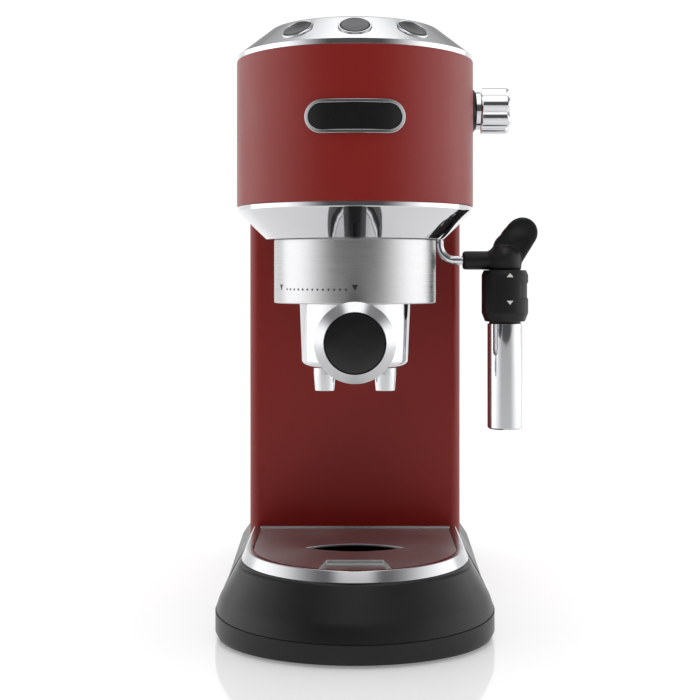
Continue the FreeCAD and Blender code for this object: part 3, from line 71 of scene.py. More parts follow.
mm = 0.001
nearly = 0.001 * mm  # places closer than this are the same
mergeGap = 0.002 * mm
nodes = frame["nodes"]
joints = {joint["name"]: joint for joint in frame["joints"]}
slotOf = {part["node"]: part["material_slot"] for part in frame["record"]["subparts"]}
groupAxis = Vector(joints["portafilter_turn"]["pos_m"])
knobAxis = Vector(joints["steam_knob_turn"]["pos_m"])
midX = groupAxis.x
groupY = groupAxis.y
rightward = Vector((1, 0, 0))
frontward = Vector((0, -1, 0))
upward = Vector((0, 0, 1))
collarLow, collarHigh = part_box("frother_collar")
frotherAxis = Vector(((collarLow.x + collarHigh.x) / 2, (collarLow.y + collarHigh.y) / 2, 0))
replacedNodes = set()
print("frame loaded:", len(nodes), "nodes")


# Camera, at the photograph's height and distance
cameraView = {"distance": 0.65, "height": 0.1802, "sensor": 36, "lens": 64.2, "shiftX": -0.0071,
              "shiftY": -0.111}


def addCamera():
    data = bpy.data.cameras.new("frontCamera")
    data.sensor_width = cameraView["sensor"]
    data.lens = cameraView["lens"]
    data.shift_x = cameraView["shiftX"]
    data.shift_y = cameraView["shiftY"]
    camera = bpy.data.objects.new("frontCamera", data)
    camera.location = (midX, groupY - cameraView["distance"], cameraView["height"])
    camera.rotation_euler = (math.radians(90), 0, 0)
    bpy.context.scene.collection.objects.link(camera)
    bpy.context.scene.camera = camera


addCamera()
print("camera set")


# Shader helpers
def feed(tree, socket, value):  # a plain number or another node's output
    if isinstance(value, (int, float)):
        socket.default_value = value
    else:
        tree.links.new(value, socket)


def mathNode(tree, operation, first, second):
    node = tree.nodes.new("ShaderNodeMath")
    node.operation = operation
    feed(tree, node.inputs[0], first)
    feed(tree, node.inputs[1], second)
    return node.outputs["Value"]


def noiseNode(tree, vector, scale, detail):
    noise = tree.nodes.new("ShaderNodeTexNoise")
    noise.inputs["Detail"].default_value = detail
    tree.links.new(vector, noise.inputs["Vector"])
    feed(tree, noise.inputs["Scale"], scale)
    return noise.outputs["Fac"]


def spreadNode(tree, value, span, low, high, easing="LINEAR"):  # the span is stretched from low to high
    spread = tree.nodes.new("ShaderNodeMapRange")
    spread.interpolation_type = easing
    sources = {"Value": value, "From Min": span[0], "From Max": span[1], "To Min": low, "To Max": high}
    for label, source in sources.items():
        feed(tree, spread.inputs[label], source)
    return spread.outputs["Result"]


# Shader groups that several finishes share
noiseSpan = (0.3, 0.7)  # where most of a noise texture's values lie
smudgeSpan = (0.45, 0.75)
lineDrift = 14.0  # scale of the change along a brushed line


def startGroup(name, inputs, outputs):  # a vector and some numbers go in, numbers come out
    group = bpy.data.node_groups.new(name, "ShaderNodeTree")
    group.interface.new_socket(name="Vector", in_out="INPUT", socket_type="NodeSocketVector")
    for label in inputs:
        group.interface.new_socket(name=label, in_out="INPUT", socket_type="NodeSocketFloat")
    for label in outputs:
        group.interface.new_socket(name=label, in_out="OUTPUT", socket_type="NodeSocketFloat")
    given = group.nodes.new("NodeGroupInput").outputs
    return group, given, group.nodes.new("NodeGroupOutput").inputs


def buildGrain():  # moulded grain, with slow patches for the colour
    group, given, result = startGroup("mouldedGrain", ("Grain Scale", "Patch Scale"), ("Height", "Patch"))
    fine = noiseNode(group, given["Vector"], given["Grain Scale"], 3)
    slow = noiseNode(group, given["Vector"], given["Patch Scale"], 2)
    group.links.new(fine, result["Height"])
    group.links.new(spreadNode(group, slow, noiseSpan, 0, 1), result["Patch"])
    return group


def buildSmudges():  # roughness that varies where hands and cloths have been
    group, given, result = startGroup("handSmudges", ("Scale", "Clean", "Smudged"), ("Roughness",))
    cloud = noiseNode(group, given["Vector"], given["Scale"], 4)
    level = spreadNode(group, cloud, smudgeSpan, given["Clean"], given["Smudged"])
    group.links.new(level, result["Roughness"])
    return group


def buildTurnedLines():  # fine lines that run round an upright axis
    group, given, result = startGroup("turnedLines", ("Lines",), ("Height", "Line"))
    split = group.nodes.new("ShaderNodeSeparateXYZ")
    group.links.new(given["Vector"], split.inputs["Vector"])
    stretched = group.nodes.new("ShaderNodeCombineXYZ")
    for axis, scale in (("X", lineDrift), ("Y", lineDrift), ("Z", given["Lines"])):
        group.links.new(mathNode(group, "MULTIPLY", split.outputs[axis], scale), stretched.inputs[axis])
    lines = noiseNode(group, stretched.outputs["Vector"], 1, 3)
    group.links.new(lines, result["Height"])
    group.links.new(spreadNode(group, lines, noiseSpan, 0, 1), result["Line"])
    return group


grainGroup = buildGrain()
smudgeGroup = buildSmudges()
linesGroup = buildTurnedLines()


# Finishes, one for each material slot
patchScale = 18.0
smudgeScale = 30.0
grainDepth = 0.05 * mm
bareMetal = {"Metallic": 1.0}
plainFinishes = {
    "red_paint": {
        "colours": ((0.244, 0.0120, 0.0091), (0.264, 0.0139, 0.0101)), "rough": (0.36, 0.42),
        "grain": 2600.0, "bump": 0.10,
        "sockets": {"Coat Weight": 0.06, "Coat Roughness": 0.25, "Specular IOR Level": 0.34}},
    "chrome": {
        "colours": ((0.62, 0.63, 0.65), (0.67, 0.675, 0.69)), "rough": (0.035, 0.075), "grain": 900.0,
        "sockets": bareMetal},
    "polished_steel": {
        "colours": ((0.58, 0.58, 0.59), (0.64, 0.64, 0.64)), "rough": (0.36, 0.44), "grain": 1400.0,
        "bump": 0.04, "sockets": bareMetal},
    "screw_steel": {
        "colours": ((0.46, 0.46, 0.47), (0.54, 0.54, 0.54)), "rough": (0.26, 0.4), "grain": 2200.0,
        "bump": 0.2, "sockets": bareMetal},
    "black_plastic": {
        "colours": ((0.0085, 0.0085, 0.009), (0.0115, 0.0115, 0.012)), "rough": (0.33, 0.42),
        "grain": 3200.0, "bump": 0.25, "sockets": {"Specular IOR Level": 0.32}},
    "gloss_black": {
        "colours": ((0.006, 0.006, 0.007), (0.009, 0.009, 0.010)), "rough": (0.26, 0.36), "grain": 900.0,
        "bump": 0.02, "sockets": {"Specular IOR Level": 0.4}},
    "button_grey": {
        "colours": ((0.060, 0.061, 0.065), (0.075, 0.076, 0.080)), "rough": (0.22, 0.32), "grain": 1800.0,
        "bump": 0.06, "sockets": {"Metallic": 0.65}},
    "black_rubber": {
        "colours": ((0.006, 0.006, 0.006), (0.009, 0.009, 0.009)), "rough": (0.42, 0.55), "grain": 3800.0,
        "bump": 0.22, "sockets": {"Specular IOR Level": 0.3}},
    "seal_rubber": {
        "colours": ((0.020, 0.019, 0.018), (0.032, 0.030, 0.028)), "rough": (0.6, 0.72), "grain": 3000.0,
        "bump": 0.3},
    "cast_aluminium": {
        "colours": ((0.42, 0.42, 0.43), (0.50, 0.50, 0.50)), "rough": (0.42, 0.56), "grain": 1300.0,
        "bump": 0.5, "sockets": bareMetal},
    "valve_brass": {
        "colours": ((0.56, 0.38, 0.15), (0.64, 0.45, 0.20)), "rough": (0.24, 0.36), "grain": 1500.0,
        "bump": 0.15, "sockets": bareMetal},
    "pump_white": {
        "colours": ((0.66, 0.65, 0.61), (0.72, 0.71, 0.68)), "rough": (0.38, 0.5), "grain": 2600.0,
        "bump": 0.2},
    "hose_silicone": {
        "colours": ((0.58, 0.57, 0.53), (0.66, 0.65, 0.62)), "rough": (0.35, 0.45), "grain": 1400.0,
        "bump": 0.08, "sockets": {"Subsurface Weight": 0.2}},
    "board_green": {
        "colours": ((0.012, 0.085, 0.035), (0.018, 0.12, 0.05)), "rough": (0.3, 0.42), "grain": 900.0,
        "bump": 0.1},
    "clear_plastic": {
        "colours": ((0.90, 0.92, 0.92), (0.94, 0.95, 0.95)), "rough": (0.04, 0.09), "grain": 700.0,
        "sockets": {"Transmission Weight": 0.92, "IOR": 1.49}},
    "smoke_plastic": {
        "colours": ((0.26, 0.27, 0.29), (0.31, 0.32, 0.34)), "rough": (0.05, 0.11), "grain": 700.0,
        "sockets": {"Transmission Weight": 0.85, "IOR": 1.49}},
}
extraFinishes = {  # used on single pieces and printed marks
    "satinChrome": {
        "colours": ((0.50, 0.505, 0.52), (0.55, 0.555, 0.565)), "rough": (0.19, 0.26), "grain": 1600.0,
        "bump": 0.03, "sockets": bareMetal},
    "printedMark": {
        "colours": ((0.02, 0.02, 0.022), (0.03, 0.03, 0.032)), "rough": (0.45, 0.55), "grain": 2000.0},
    "whiteMark": {
        "colours": ((0.72, 0.72, 0.70), (0.80, 0.80, 0.78)), "rough": (0.45, 0.55), "grain": 2000.0},
}
brushedLook = {"colours": ((0.50, 0.50, 0.51), (0.58, 0.58, 0.585)), "rough": (0.26, 0.34),
               "lines": 14000.0, "bump": 0.06, "depth": 0.03 * mm}


def startMaterial(name):
    material = bpy.data.materials.new(name)
    material.use_nodes = True
    tree = material.node_tree
    place = tree.nodes.new("ShaderNodeTexCoord").outputs["Object"]
    return material, tree, tree.nodes["Principled BSDF"], place


def groupNode(tree, group, place, values):
    node = tree.nodes.new("ShaderNodeGroup")
    node.node_tree = group
    tree.links.new(place, node.inputs["Vector"])
    for label, value in values.items():
        node.inputs[label].default_value = value
    return node.outputs


def mixColours(tree, factor, first, second):
    mix = tree.nodes.new("ShaderNodeMix")
    mix.data_type = "RGBA"
    tree.links.new(factor, mix.inputs["Factor"])
    mix.inputs["A"].default_value = (*first, 1)
    mix.inputs["B"].default_value = (*second, 1)
    return mix.outputs["Result"]


def addBump(tree, shader, height, strength, depth):
    bump = tree.nodes.new("ShaderNodeBump")
    bump.inputs["Strength"].default_value = strength
    bump.inputs["Distance"].default_value = depth
    tree.links.new(height, bump.inputs["Height"])
    tree.links.new(bump.outputs["Normal"], shader.inputs["Normal"])


def makeFinish(name, look):
    material, tree, shader, place = startMaterial(name)
    clean, smudged = look["rough"]
    wear = {"Scale": smudgeScale, "Clean": clean, "Smudged": smudged}
    smudges = groupNode(tree, smudgeGroup, place, wear)
    grain = groupNode(tree, grainGroup, place, {"Grain Scale": look["grain"], "Patch Scale": patchScale})
    tree.links.new(mixColours(tree, grain["Patch"], *look["colours"]), shader.inputs["Base Color"])
    tree.links.new(smudges["Roughness"], shader.inputs["Roughness"])
    if "bump" in look:
        addBump(tree, shader, grain["Height"], look["bump"], grainDepth)
    for socket, value in look.get("sockets", {}).items():
        shader.inputs[socket].default_value = value
    return material


def makeBrushedSteel(name, look):  # brushed on a lathe
    material, tree, shader, place = startMaterial(name)
    lines = groupNode(tree, linesGroup, place, {"Lines": look["lines"]})
    tree.links.new(mixColours(tree, lines["Line"], *look["colours"]), shader.inputs["Base Color"])
    tree.links.new(spreadNode(tree, lines["Line"], noiseSpan, *look["rough"]), shader.inputs["Roughness"])
    addBump(tree, shader, lines["Height"], look["bump"], look["depth"])
    shader.inputs["Metallic"].default_value = bareMetal["Metallic"]
    return material


finishes = {name: makeFinish(name, look) for name, look in {**plainFinishes, **extraFinishes}.items()}
finishes["brushed_steel"] = makeBrushedSteel("brushed_steel", brushedLook)
print("finishes made:", len(finishes))


# Mesh helpers
flatAngle = math.radians(0.7)
sharpAngle = math.radians(40)
arcSteps = 64


def pick(items, kind):  # the corners, edges or faces among what a mesh operator gives back
    return [item for item in items if isinstance(item, kind)]


def bevelEdges(bm, edges, width, segments, **more):
    bmesh.ops.bevel(bm, geom=edges, offset=width, offset_type="OFFSET", affect="EDGES", segments=segments,
                    profile=0.5, material=-1, **more)


def softenEdges(bm, width, degrees=32, segments=3):
    limit = math.radians(degrees)
    sharp = [edge for edge in bm.edges if len(edge.link_faces) == 2 and edge.calc_face_angle(0) > limit]
    bevelEdges(bm, sharp, width, segments, clamp_overlap=True, loop_slide=True)


def mergedCopy(node):
    bm = bmesh.new()
    bm.from_mesh(nodes[node].data)
    bmesh.ops.remove_doubles(bm, verts=bm.verts[:], dist=nearly)
    bmesh.ops.dissolve_limit(bm, angle_limit=flatAngle, verts=bm.verts[:], edges=bm.edges[:])
    return bm


def softCopy(node, width):  # a CAD node's own form, with its edges broken
    bm = mergedCopy(node)
    softenEdges(bm, width)
    return bm


def turn(bm, profile, axisAt, axis, steps=96, closed=False):  # (radius, along) pairs, spun right round
    side = axis.orthogonal().normalized()
    line = [bm.verts.new(axisAt + axis * along + side * radius) for radius, along in profile]
    edges = [bm.edges.new(pair) for pair in zip(line, line[1:])]
    if closed:
        edges.append(bm.edges.new((line[-1], line[0])))
    bmesh.ops.spin(bm, geom=line + edges, cent=axisAt, axis=axis, angle=2 * math.pi, steps=steps,
                   use_merge=True)
    bmesh.ops.remove_doubles(bm, verts=bm.verts[:], dist=mergeGap)
    bmesh.ops.recalc_face_normals(bm, faces=bm.faces[:])


def roundFront(bm, z, half, centreY, backY, backHalf, reach, sideCuts=0):  # round in front, flat behind
    oldVerts = set(bm.verts)
    start = bm.verts.new((midX + half, centreY, z))
    bmesh.ops.spin(bm, geom=[start], cent=(midX, centreY, z), axis=upward, angle=-math.pi, steps=arcSteps)
    arc = sorted((vert for vert in bm.verts if vert not in oldVerts), key=lambda vert: -vert.co.x)
    bmesh.ops.scale(bm, vec=(1, reach / half, 1), space=Matrix.Translation((0, -centreY, 0)), verts=arc)
    sides = []
    for end, side in ((arc[0], 1), (arc[-1], -1)):
        corner = Vector((midX + side * backHalf, backY, z))
        line = [end]
        for i in range(sideCuts + 1):
            line += bmesh.ops.extrude_vert_indiv(bm, verts=[line[-1]])["verts"]
            line[-1].co = end.co.lerp(corner, (i + 1) / (sideCuts + 1))
        sides.append(line[1:])
    bm.edges.new((sides[0][-1], sides[1][-1]))
    return sides[0][::-1] + arc + sides[1]


def stack(bm, rings, wrap=False):  # walls from ring to ring; bridging fails on rings of one level
    pairs = list(zip(rings, rings[1:]))
    if wrap:
        pairs.append((rings[-1], rings[0]))
    for low, high in pairs:
        for i in range(len(low)):
            bm.faces.new((low[i - 1], low[i], high[i], high[i - 1]))
    bmesh.ops.recalc_face_normals(bm, faces=bm.faces[:])


def plate(bm, outline, at, across, along, out, thick):  # a flat mark, raised a little from its surface
    face = bm.faces.new([bm.verts.new(at + across * x + along * y) for x, y in outline])
    raised = bmesh.ops.extrude_face_region(bm, geom=[face])["geom"]
    bmesh.ops.translate(bm, vec=out * thick, verts=pick(raised, bmesh.types.BMVert))


def disc(radius, count=16):
    angles = [2 * math.pi * i / count for i in range(count)]
    return [(radius * math.cos(angle), radius * math.sin(angle)) for angle in angles]


def bar(half, thick):
    return [(-half, -thick), (half, -thick), (half, thick), (-half, thick)]


def placePiece(name, bm, material, body):
    bmesh.ops.remove_doubles(bm, verts=bm.verts[:], dist=mergeGap)
    bmesh.ops.recalc_face_normals(bm, faces=bm.faces[:])
    mesh = bpy.data.meshes.new(name)
    bm.to_mesh(mesh)
    bm.free()
    stale = mesh.attributes.get("custom_normal")
    if stale:
        mesh.attributes.remove(stale)
    mesh.shade_smooth()
    mesh.set_sharp_from_angle(angle=sharpAngle)
    mesh.materials.clear()
    mesh.materials.append(material)
    piece = bpy.data.objects.new(name, mesh)
    bpy.context.scene.collection.objects.link(piece)
    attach(piece, body)
    return piece


def evenNormals(piece):
    normals = piece.modifiers.new("evenNormals", "WEIGHTED_NORMAL")
    normals.keep_sharp = True


def standFor(node, name, bm, even=True, finish=None):
    slot = slotOf[node]
    piece = placePiece(name, bm, finishes[finish or slot], nodes[node]["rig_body"])
    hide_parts(node)
    replacedNodes.add(node)
    if even:
        evenNormals(piece)
    return piece


# Pressed and moulded shells, with broken edges
shellEdges = {
    "head_band": {"name": "headBand", "width": 0.45 * mm},
    "head_skirt": {"name": "headSkirt", "width": 0.6 * mm},
    "column_panel": {"name": "columnPanel", "width": 0.4 * mm},
    "rear_panel": {"name": "rearPanel", "width": 0.4 * mm},
    "lower_tray": {"name": "lowerTray", "width": 0.5 * mm},
    "cup_plate": {"name": "cupPlate", "width": 0.25 * mm},
    "badge_rim": {"name": "badgeRim", "width": 0.4 * mm},
    "badge_plate": {"name": "badgePlate", "width": 0.3 * mm},
    "portafilter_body": {"name": "portafilterBody", "width": 0.6 * mm},
    "twin_spout": {"name": "twinSpout", "width": 0.7 * mm},
    "water_tank": {"name": "waterTank", "width": 0.7 * mm},
    "tank_lid": {"name": "tankLid", "width": 0.5 * mm},
    "power_switch_housing": {"name": "powerSwitchHousing", "width": 0.4 * mm},
    "power_rocker": {"name": "powerRocker", "width": 0.4 * mm},
    "cord_gland": {"name": "cordGland", "width": 0.5 * mm},
    "feet": {"name": "rubberFeet", "width": 0.6 * mm},
    "wand_socket": {"name": "wandSocket", "width": 0.3 * mm},
}
for node, shell in shellEdges.items():
    standFor(node, shell["name"], softCopy(node, shell["width"]))
print("shells:", len(shellEdges))


# Chrome cover, rounder where its slope meets the top
coverShape = {"crest": 1.5 * mm, "crestSteps": 5, "crestSlack": 0.01 * mm, "edge": 0.5 * mm,
              "slopeFacing": (0.1, 0.95)}


def makeTopCover():
    bm = mergedCopy("top_cover")
    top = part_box("top_cover")[1].z - coverShape["crestSlack"]
    steep, flat = coverShape["slopeFacing"]
    crest = [edge for edge in bm.edges if min(vert.co.z for vert in edge.verts) > top
             and any(steep < face.normal.z < flat for face in edge.link_faces)]
    bevelEdges(bm, crest, coverShape["crest"], coverShape["crestSteps"], clamp_overlap=True)
    softenEdges(bm, coverShape["edge"])
    standFor("top_cover", "topCover", bm)


makeTopCover()


# Base: the side walls of the deck lean in towards the rear block
baseShape = {"edge": 0.7 * mm, "waist": 10.0 * mm, "lean": 5.4 * mm, "cornerHalf": 70.0 * mm,
             "cornerAbove": 19.0 * mm, "cuts": 10, "wallFacing": 0.9}


def partsOf(faces):  # the faces' corners and edges, each once and always in the same order
    verts = dict.fromkeys(vert for face in faces for vert in face.verts)
    edges = dict.fromkeys(edge for face in faces for edge in face.edges)
    return list(verts), list(edges)


def leanWall(bm, corner):
    shape = baseShape
    side = 1 if corner.co.x > midX else -1
    walls = [face for face in corner.link_faces if face.normal.x * side > shape["wallFacing"]]
    frontY = min(vert.co.y for face in walls for vert in face.verts)
    depth = corner.co.y - frontY
    rise = corner.co.z - shape["waist"]
    planes = [(Vector((0, 0, shape["waist"])), upward)]
    for i in range(1, shape["cuts"]):
        planes.append((Vector((0, frontY + depth * i / shape["cuts"], 0)), frontward))
    for at, normal in planes:
        verts, edges = partsOf(walls)
        cut = bmesh.ops.bisect_plane(bm, geom=verts + edges + walls, plane_co=at, plane_no=normal)
        walls = pick(cut["geom"], bmesh.types.BMFace)
    for vert in partsOf(walls)[0]:
        above = max(0, vert.co.z - shape["waist"]) / rise
        vert.co.x -= side * shape["lean"] * above * (vert.co.y - frontY) / depth


def makeBaseHousing():
    bm = mergedCopy("base_housing")
    corners = [vert for vert in bm.verts if abs(vert.co.x - midX) > baseShape["cornerHalf"]
               and vert.co.z > baseShape["cornerAbove"]]
    for corner in corners:
        leanWall(bm, corner)
    softenEdges(bm, baseShape["edge"])
    bmesh.ops.dissolve_degenerate(bm, dist=mergeGap, edges=bm.edges[:])
    standFor("base_housing", "baseHousing", bm)


makeBaseHousing()


# Cup warmer, a steel plate with a sunk field
warmerShape = {"edge": 0.3 * mm, "border": 3.0 * mm, "sunk": 0.35 * mm, "topFacing": 0.9}


def makeCupWarmer():
    shape = warmerShape
    bm = softCopy("cup_warmer", shape["edge"])
    top = max(bm.faces, key=lambda face: face.calc_area() * (face.normal.z > shape["topFacing"]))
    for thickness, depth in ((shape["border"], 0), (shape["sunk"], -shape["sunk"])):
        bmesh.ops.inset_region(bm, faces=[top], thickness=thickness, depth=depth, use_even_offset=True)
    standFor("cup_warmer", "cupWarmer", bm)


makeCupWarmer()
print("cover, base and cup warmer made")


# Drip tray: drawn-in wall that rounds over to the base rim
trayShape = {"below": 15.0 * mm, "band": 2.8 * mm, "rounding": 7.0 * mm, "roundSteps": 8,
             "backLean": 6.6 * mm, "sideCuts": 8, "frontHalf": 69.0 * mm, "reach": 54.0 * mm,
             "arcAhead": 31.0 * mm, "topHalf": 57.5 * mm, "topReach": 43.5 * mm, "topBackDrawn": 12.1 * mm,
             "topEdge": 1.2 * mm, "topSteps": 4, "topAngle": 0.3, "wall": 2.2 * mm, "mouthMargin": 2.0 * mm,
             "deckFront": 11.25 * mm, "deckRise": 9.0 * mm, "deckLength": 142.0 * mm}


def makeDripTray():
    shape = trayShape
    low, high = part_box("drip_tray")
    plateLow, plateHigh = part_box("cup_plate")
    plateHalf = (plateHigh.x - plateLow.x) / 2
    arcY = groupY - shape["arcAhead"]
    backHalf = (high.x - low.x) / 2
    slope = shape["deckRise"] / shape["deckLength"]
    cuts = shape["sideCuts"]
    bm = bmesh.new()
    foot = []
    for level, lean in ((-shape["below"], 0), (shape["band"], shape["backLean"])):
        ring = roundFront(bm, shape["deckFront"] + level, shape["frontHalf"], arcY, high.y, backHalf - lean,
                          shape["reach"], cuts)
        for vert in ring:  # both rings follow the sloping deck
            vert.co.z += slope * (vert.co.y - low.y)
        foot.append(ring)
    skirt, waist = foot
    rim = roundFront(bm, high.z, shape["topHalf"], arcY, high.y, backHalf - shape["topBackDrawn"],
                     shape["topReach"], cuts)
    mouthHalf = plateHalf - shape["mouthMargin"]
    mouth = roundFront(bm, high.z, mouthHalf, plateLow.y + plateHalf, plateHigh.y - shape["mouthMargin"],
                       mouthHalf, mouthHalf, cuts)
    stack(bm, [skirt, waist, rim, mouth])
    waistEdges = [bm.edges.get((waist[i - 1], waist[i])) for i in range(len(waist))]
    bevelEdges(bm, waistEdges, shape["rounding"], shape["roundSteps"])
    topEdges = [edge for edge in bm.edges if len(edge.link_faces) == 2
                and min(vert.co.z for vert in edge.verts) > high.z - nearly
                and edge.calc_face_angle(0) > shape["topAngle"]]
    bevelEdges(bm, topEdges, shape["topEdge"], shape["topSteps"])
    cut = bmesh.ops.bisect_plane(bm, geom=bm.verts[:] + bm.edges[:] + bm.faces[:], clear_inner=True,
                                 plane_co=(midX, low.y, shape["deckFront"]),
                                 plane_no=Vector((0, -slope, 1)).normalized())
    bmesh.ops.holes_fill(bm, edges=pick(cut["geom_cut"], bmesh.types.BMEdge), sides=0)
    piece = standFor("drip_tray", "dripTray", bm, even=False)
    wall = piece.modifiers.new("wall", "SOLIDIFY")
    wall.thickness = shape["wall"]
    wall.offset = -1
    wall.use_even_offset = True
    evenNormals(piece)


# Chrome strip round the cup plate
trimShape = {"overhang": 2.8 * mm, "frontOverhang": 1.3 * mm, "lean": 2.5 * mm, "edge": 0.55 * mm,
             "lip": 1.6 * mm, "lipHeight": 3.4 * mm, "seatGap": 0.2 * mm}


def makeTrayTrim():
    shape = trimShape
    low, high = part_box("tray_trim")
    plateLow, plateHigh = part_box("cup_plate")
    half = (high.x - low.x) / 2
    wide = half + shape["overhang"]
    reach = half + shape["frontOverhang"]
    seat = (plateHigh.x - plateLow.x) / 2 + shape["seatGap"]
    seatBack = plateHigh.y + shape["seatGap"]
    lip = seat - shape["lip"]
    lipBack = plateHigh.y - shape["lip"]
    lipTop = low.z + shape["lipHeight"]
    lean = shape["lean"]
    bm = bmesh.new()
    sizes = [(low.z, wide, reach, high.y), (high.z, wide - lean, reach - lean, high.y - lean),
             (high.z, seat, seat, seatBack), (lipTop, seat, seat, seatBack), (lipTop, lip, lip, lipBack),
             (low.z, lip, lip, lipBack)]
    rings = [roundFront(bm, z, ringHalf, low.y + half, back, ringHalf, ringReach)
             for z, ringHalf, ringReach, back in sizes]
    stack(bm, rings, wrap=True)
    softenEdges(bm, shape["edge"], degrees=40)
    standFor("tray_trim", "trayTrim", bm, finish="satinChrome")


makeDripTray()
makeTrayTrim()
print("tray made")


# Group ring, with a start mark and a dotted path to the closed mark
ringShape = {"lip": 4.5 * mm, "lipThick": 1.5 * mm, "wall": 1.3 * mm, "edge": 0.9 * mm, "steps": 144,
             "markHeight": 8.2 * mm, "startAngle": -62, "arrow": 1.5 * mm, "arrowSunk": 0.03 * mm,
             "dotStep": 4.0, "dotRadius": 0.55 * mm, "dotDrop": 0.9 * mm, "dotSunk": 0.01 * mm,
             "ink": 0.08 * mm}


def roundAxis(degrees):  # outward and sideways directions at an angle from the front
    angle = math.radians(degrees)
    out = Vector((math.sin(angle), -math.cos(angle), 0))
    return out, upward.cross(out)


def ringMark(bm, outline, radius, degrees, z, thick):
    out, across = roundAxis(degrees)
    plate(bm, outline, Vector((midX, groupY, z)) + out * radius, across, upward, out, thick)


def makeGroupRing():
    shape = ringShape
    low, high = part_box("group_ring")
    radius = (high.x - low.x) / 2
    height = high.z - low.z
    lip = radius - shape["lip"]
    inner = radius - shape["wall"]
    bm = bmesh.new()
    profile = [(lip, 0), (radius, 0), (radius, height), (inner, height), (inner, shape["lipThick"]),
               (lip, shape["lipThick"])]
    turn(bm, profile, Vector((midX, groupY, low.z)), upward, steps=shape["steps"], closed=True)
    softenEdges(bm, shape["edge"], degrees=40, segments=4)
    standFor("group_ring", "groupRing", bm)
    marks = bmesh.new()
    level = low.z + shape["markHeight"]
    size = shape["arrow"]
    arrow = [(-size, size), (0, -size), (size, size)]
    sunk = shape["arrowSunk"]
    for degrees in (shape["startAngle"], 0):
        ringMark(marks, arrow, radius - sunk, degrees, level, shape["ink"] + sunk)
    dot = disc(shape["dotRadius"])
    degrees = shape["startAngle"] + 2 * shape["dotStep"]
    while degrees < -shape["dotStep"]:
        ringMark(marks, dot, radius - shape["dotSunk"], degrees, level - shape["dotDrop"], shape["ink"])
        degrees += shape["dotStep"]
    placePiece("ringMarks", marks, finishes["printedMark"], "machine")


# Portafilter handle, turned along its own axis
handleShape = {"rootRadius": 10.5 * mm, "bellyRadius": 14.2 * mm, "bellyAt": 0.67, "endTaper": 1.0 * mm,
               "steps": 14, "edge": 0.5 * mm, "ringBevel": 5.0 * mm, "ringFace": 13.0 * mm,
               "capGap": 0.2 * mm, "capDepth": 5.0 * mm, "capCrown": 0.9 * mm, "capShoulder": 1.44 * mm,
               "crownShares": (0.97, 0.9, 0.75, 0.5, 0)}


def gripRadius(share):  # slim at the neck, full two thirds along
    shape = handleShape
    if share < shape["bellyAt"]:
        rise = math.sin(math.pi / 2 * share / shape["bellyAt"])
        return shape["rootRadius"] + (shape["bellyRadius"] - shape["rootRadius"]) * rise
    drop = (share - shape["bellyAt"]) / (1 - shape["bellyAt"])
    return shape["bellyRadius"] - shape["endTaper"] * drop * drop


def makeHandleGrip():
    low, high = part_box("handle_grip")
    length = high.y - low.y
    shares = [i / handleShape["steps"] for i in range(handleShape["steps"] + 1)]
    profile = [(0, 0)] + [(gripRadius(share), length * share) for share in shares] + [(0, length)]
    bm = bmesh.new()
    turn(bm, profile, Vector((midX, high.y, (low.z + high.z) / 2)), frontward)
    softenEdges(bm, handleShape["edge"], degrees=40)
    standFor("handle_grip", "handleGrip", bm)


def makeHandleEnd():
    shape = handleShape
    gripLow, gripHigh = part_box("handle_grip")
    ringLow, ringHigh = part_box("handle_end_ring")
    capLow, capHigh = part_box("handle_end_cap")
    axisZ = (gripLow.z + gripHigh.z) / 2
    length = ringHigh.y - ringLow.y
    radius = (ringHigh.x - ringLow.x) / 2
    capRadius = (capHigh.x - capLow.x) / 2
    mouth = capRadius + shape["capGap"]
    floor = length - shape["capDepth"]
    bm = bmesh.new()
    turn(bm, [(0, 0), (shape["bellyRadius"], 0), (radius, length - shape["ringBevel"]),
              (shape["ringFace"], length), (mouth, length), (mouth, floor), (0, floor)],
         Vector((midX, gripLow.y, axisZ)), frontward)
    softenEdges(bm, shape["edge"], degrees=25, segments=4)
    standFor("handle_end_ring", "handleEndRing", bm, finish="satinChrome")
    capLength = capHigh.y - capLow.y
    crown = [(capRadius * share, capLength - shape["capCrown"] * share ** 4)
             for share in shape["crownShares"]]
    bm = bmesh.new()
    turn(bm, [(0, 0), (capRadius, 0), (capRadius, capLength - shape["capShoulder"])] + crown,
         Vector((midX, capHigh.y, axisZ)), frontward)
    standFor("handle_end_cap", "handleEndCap", bm)


makeGroupRing()
makeHandleGrip()
makeHandleEnd()
print("brew group made")


# Buttons in the sloping cover, each in its own bezel
buttonShape = {"ring": 51.366 * mm, "height": 298.42 * mm, "steps": 64, "radius": 6.9 * mm,
               "proud": 0.8 * mm, "dish": 0.55 * mm, "dishWidth": 0.93,
               "dishShares": (0, 0.25, 0.5, 0.75, 1), "lip": 0.1 * mm, "edge": 0.35 * mm,
               "flangeTop": 3.0 * mm, "flangeLow": 4.4 * mm, "flange": 8.3 * mm, "stem": 2.5 * mm,
               "stemEnd": 6.4 * mm, "bezelGap": 0.3 * mm, "bezelWidth": 1.0 * mm, "bezelProud": 0.6 * mm,
               "bezelDepth": 2.2 * mm, "bezelOuterEdge": 0.3 * mm, "bezelInnerEdge": 0.25 * mm}
buttonNames = {"button_left": "buttonLeft", "button_centre": "buttonCentre", "button_right": "buttonRight"}


def buttonProfile():  # dished top, flange under the cover, stem down to the switch
    shape = buttonShape
    width = shape["radius"] * shape["dishWidth"]
    dish = [(width * share, shape["proud"] - shape["dish"] * (1 - share * share))
            for share in shape["dishShares"]]
    return dish + [(shape["radius"], shape["proud"] - shape["lip"]), (shape["radius"], -shape["flangeTop"]),
                   (shape["flange"], -shape["flangeTop"]), (shape["flange"], -shape["flangeLow"]),
                   (shape["stem"], -shape["flangeLow"]), (shape["stem"], -shape["stemEnd"]),
                   (0, -shape["stemEnd"])]


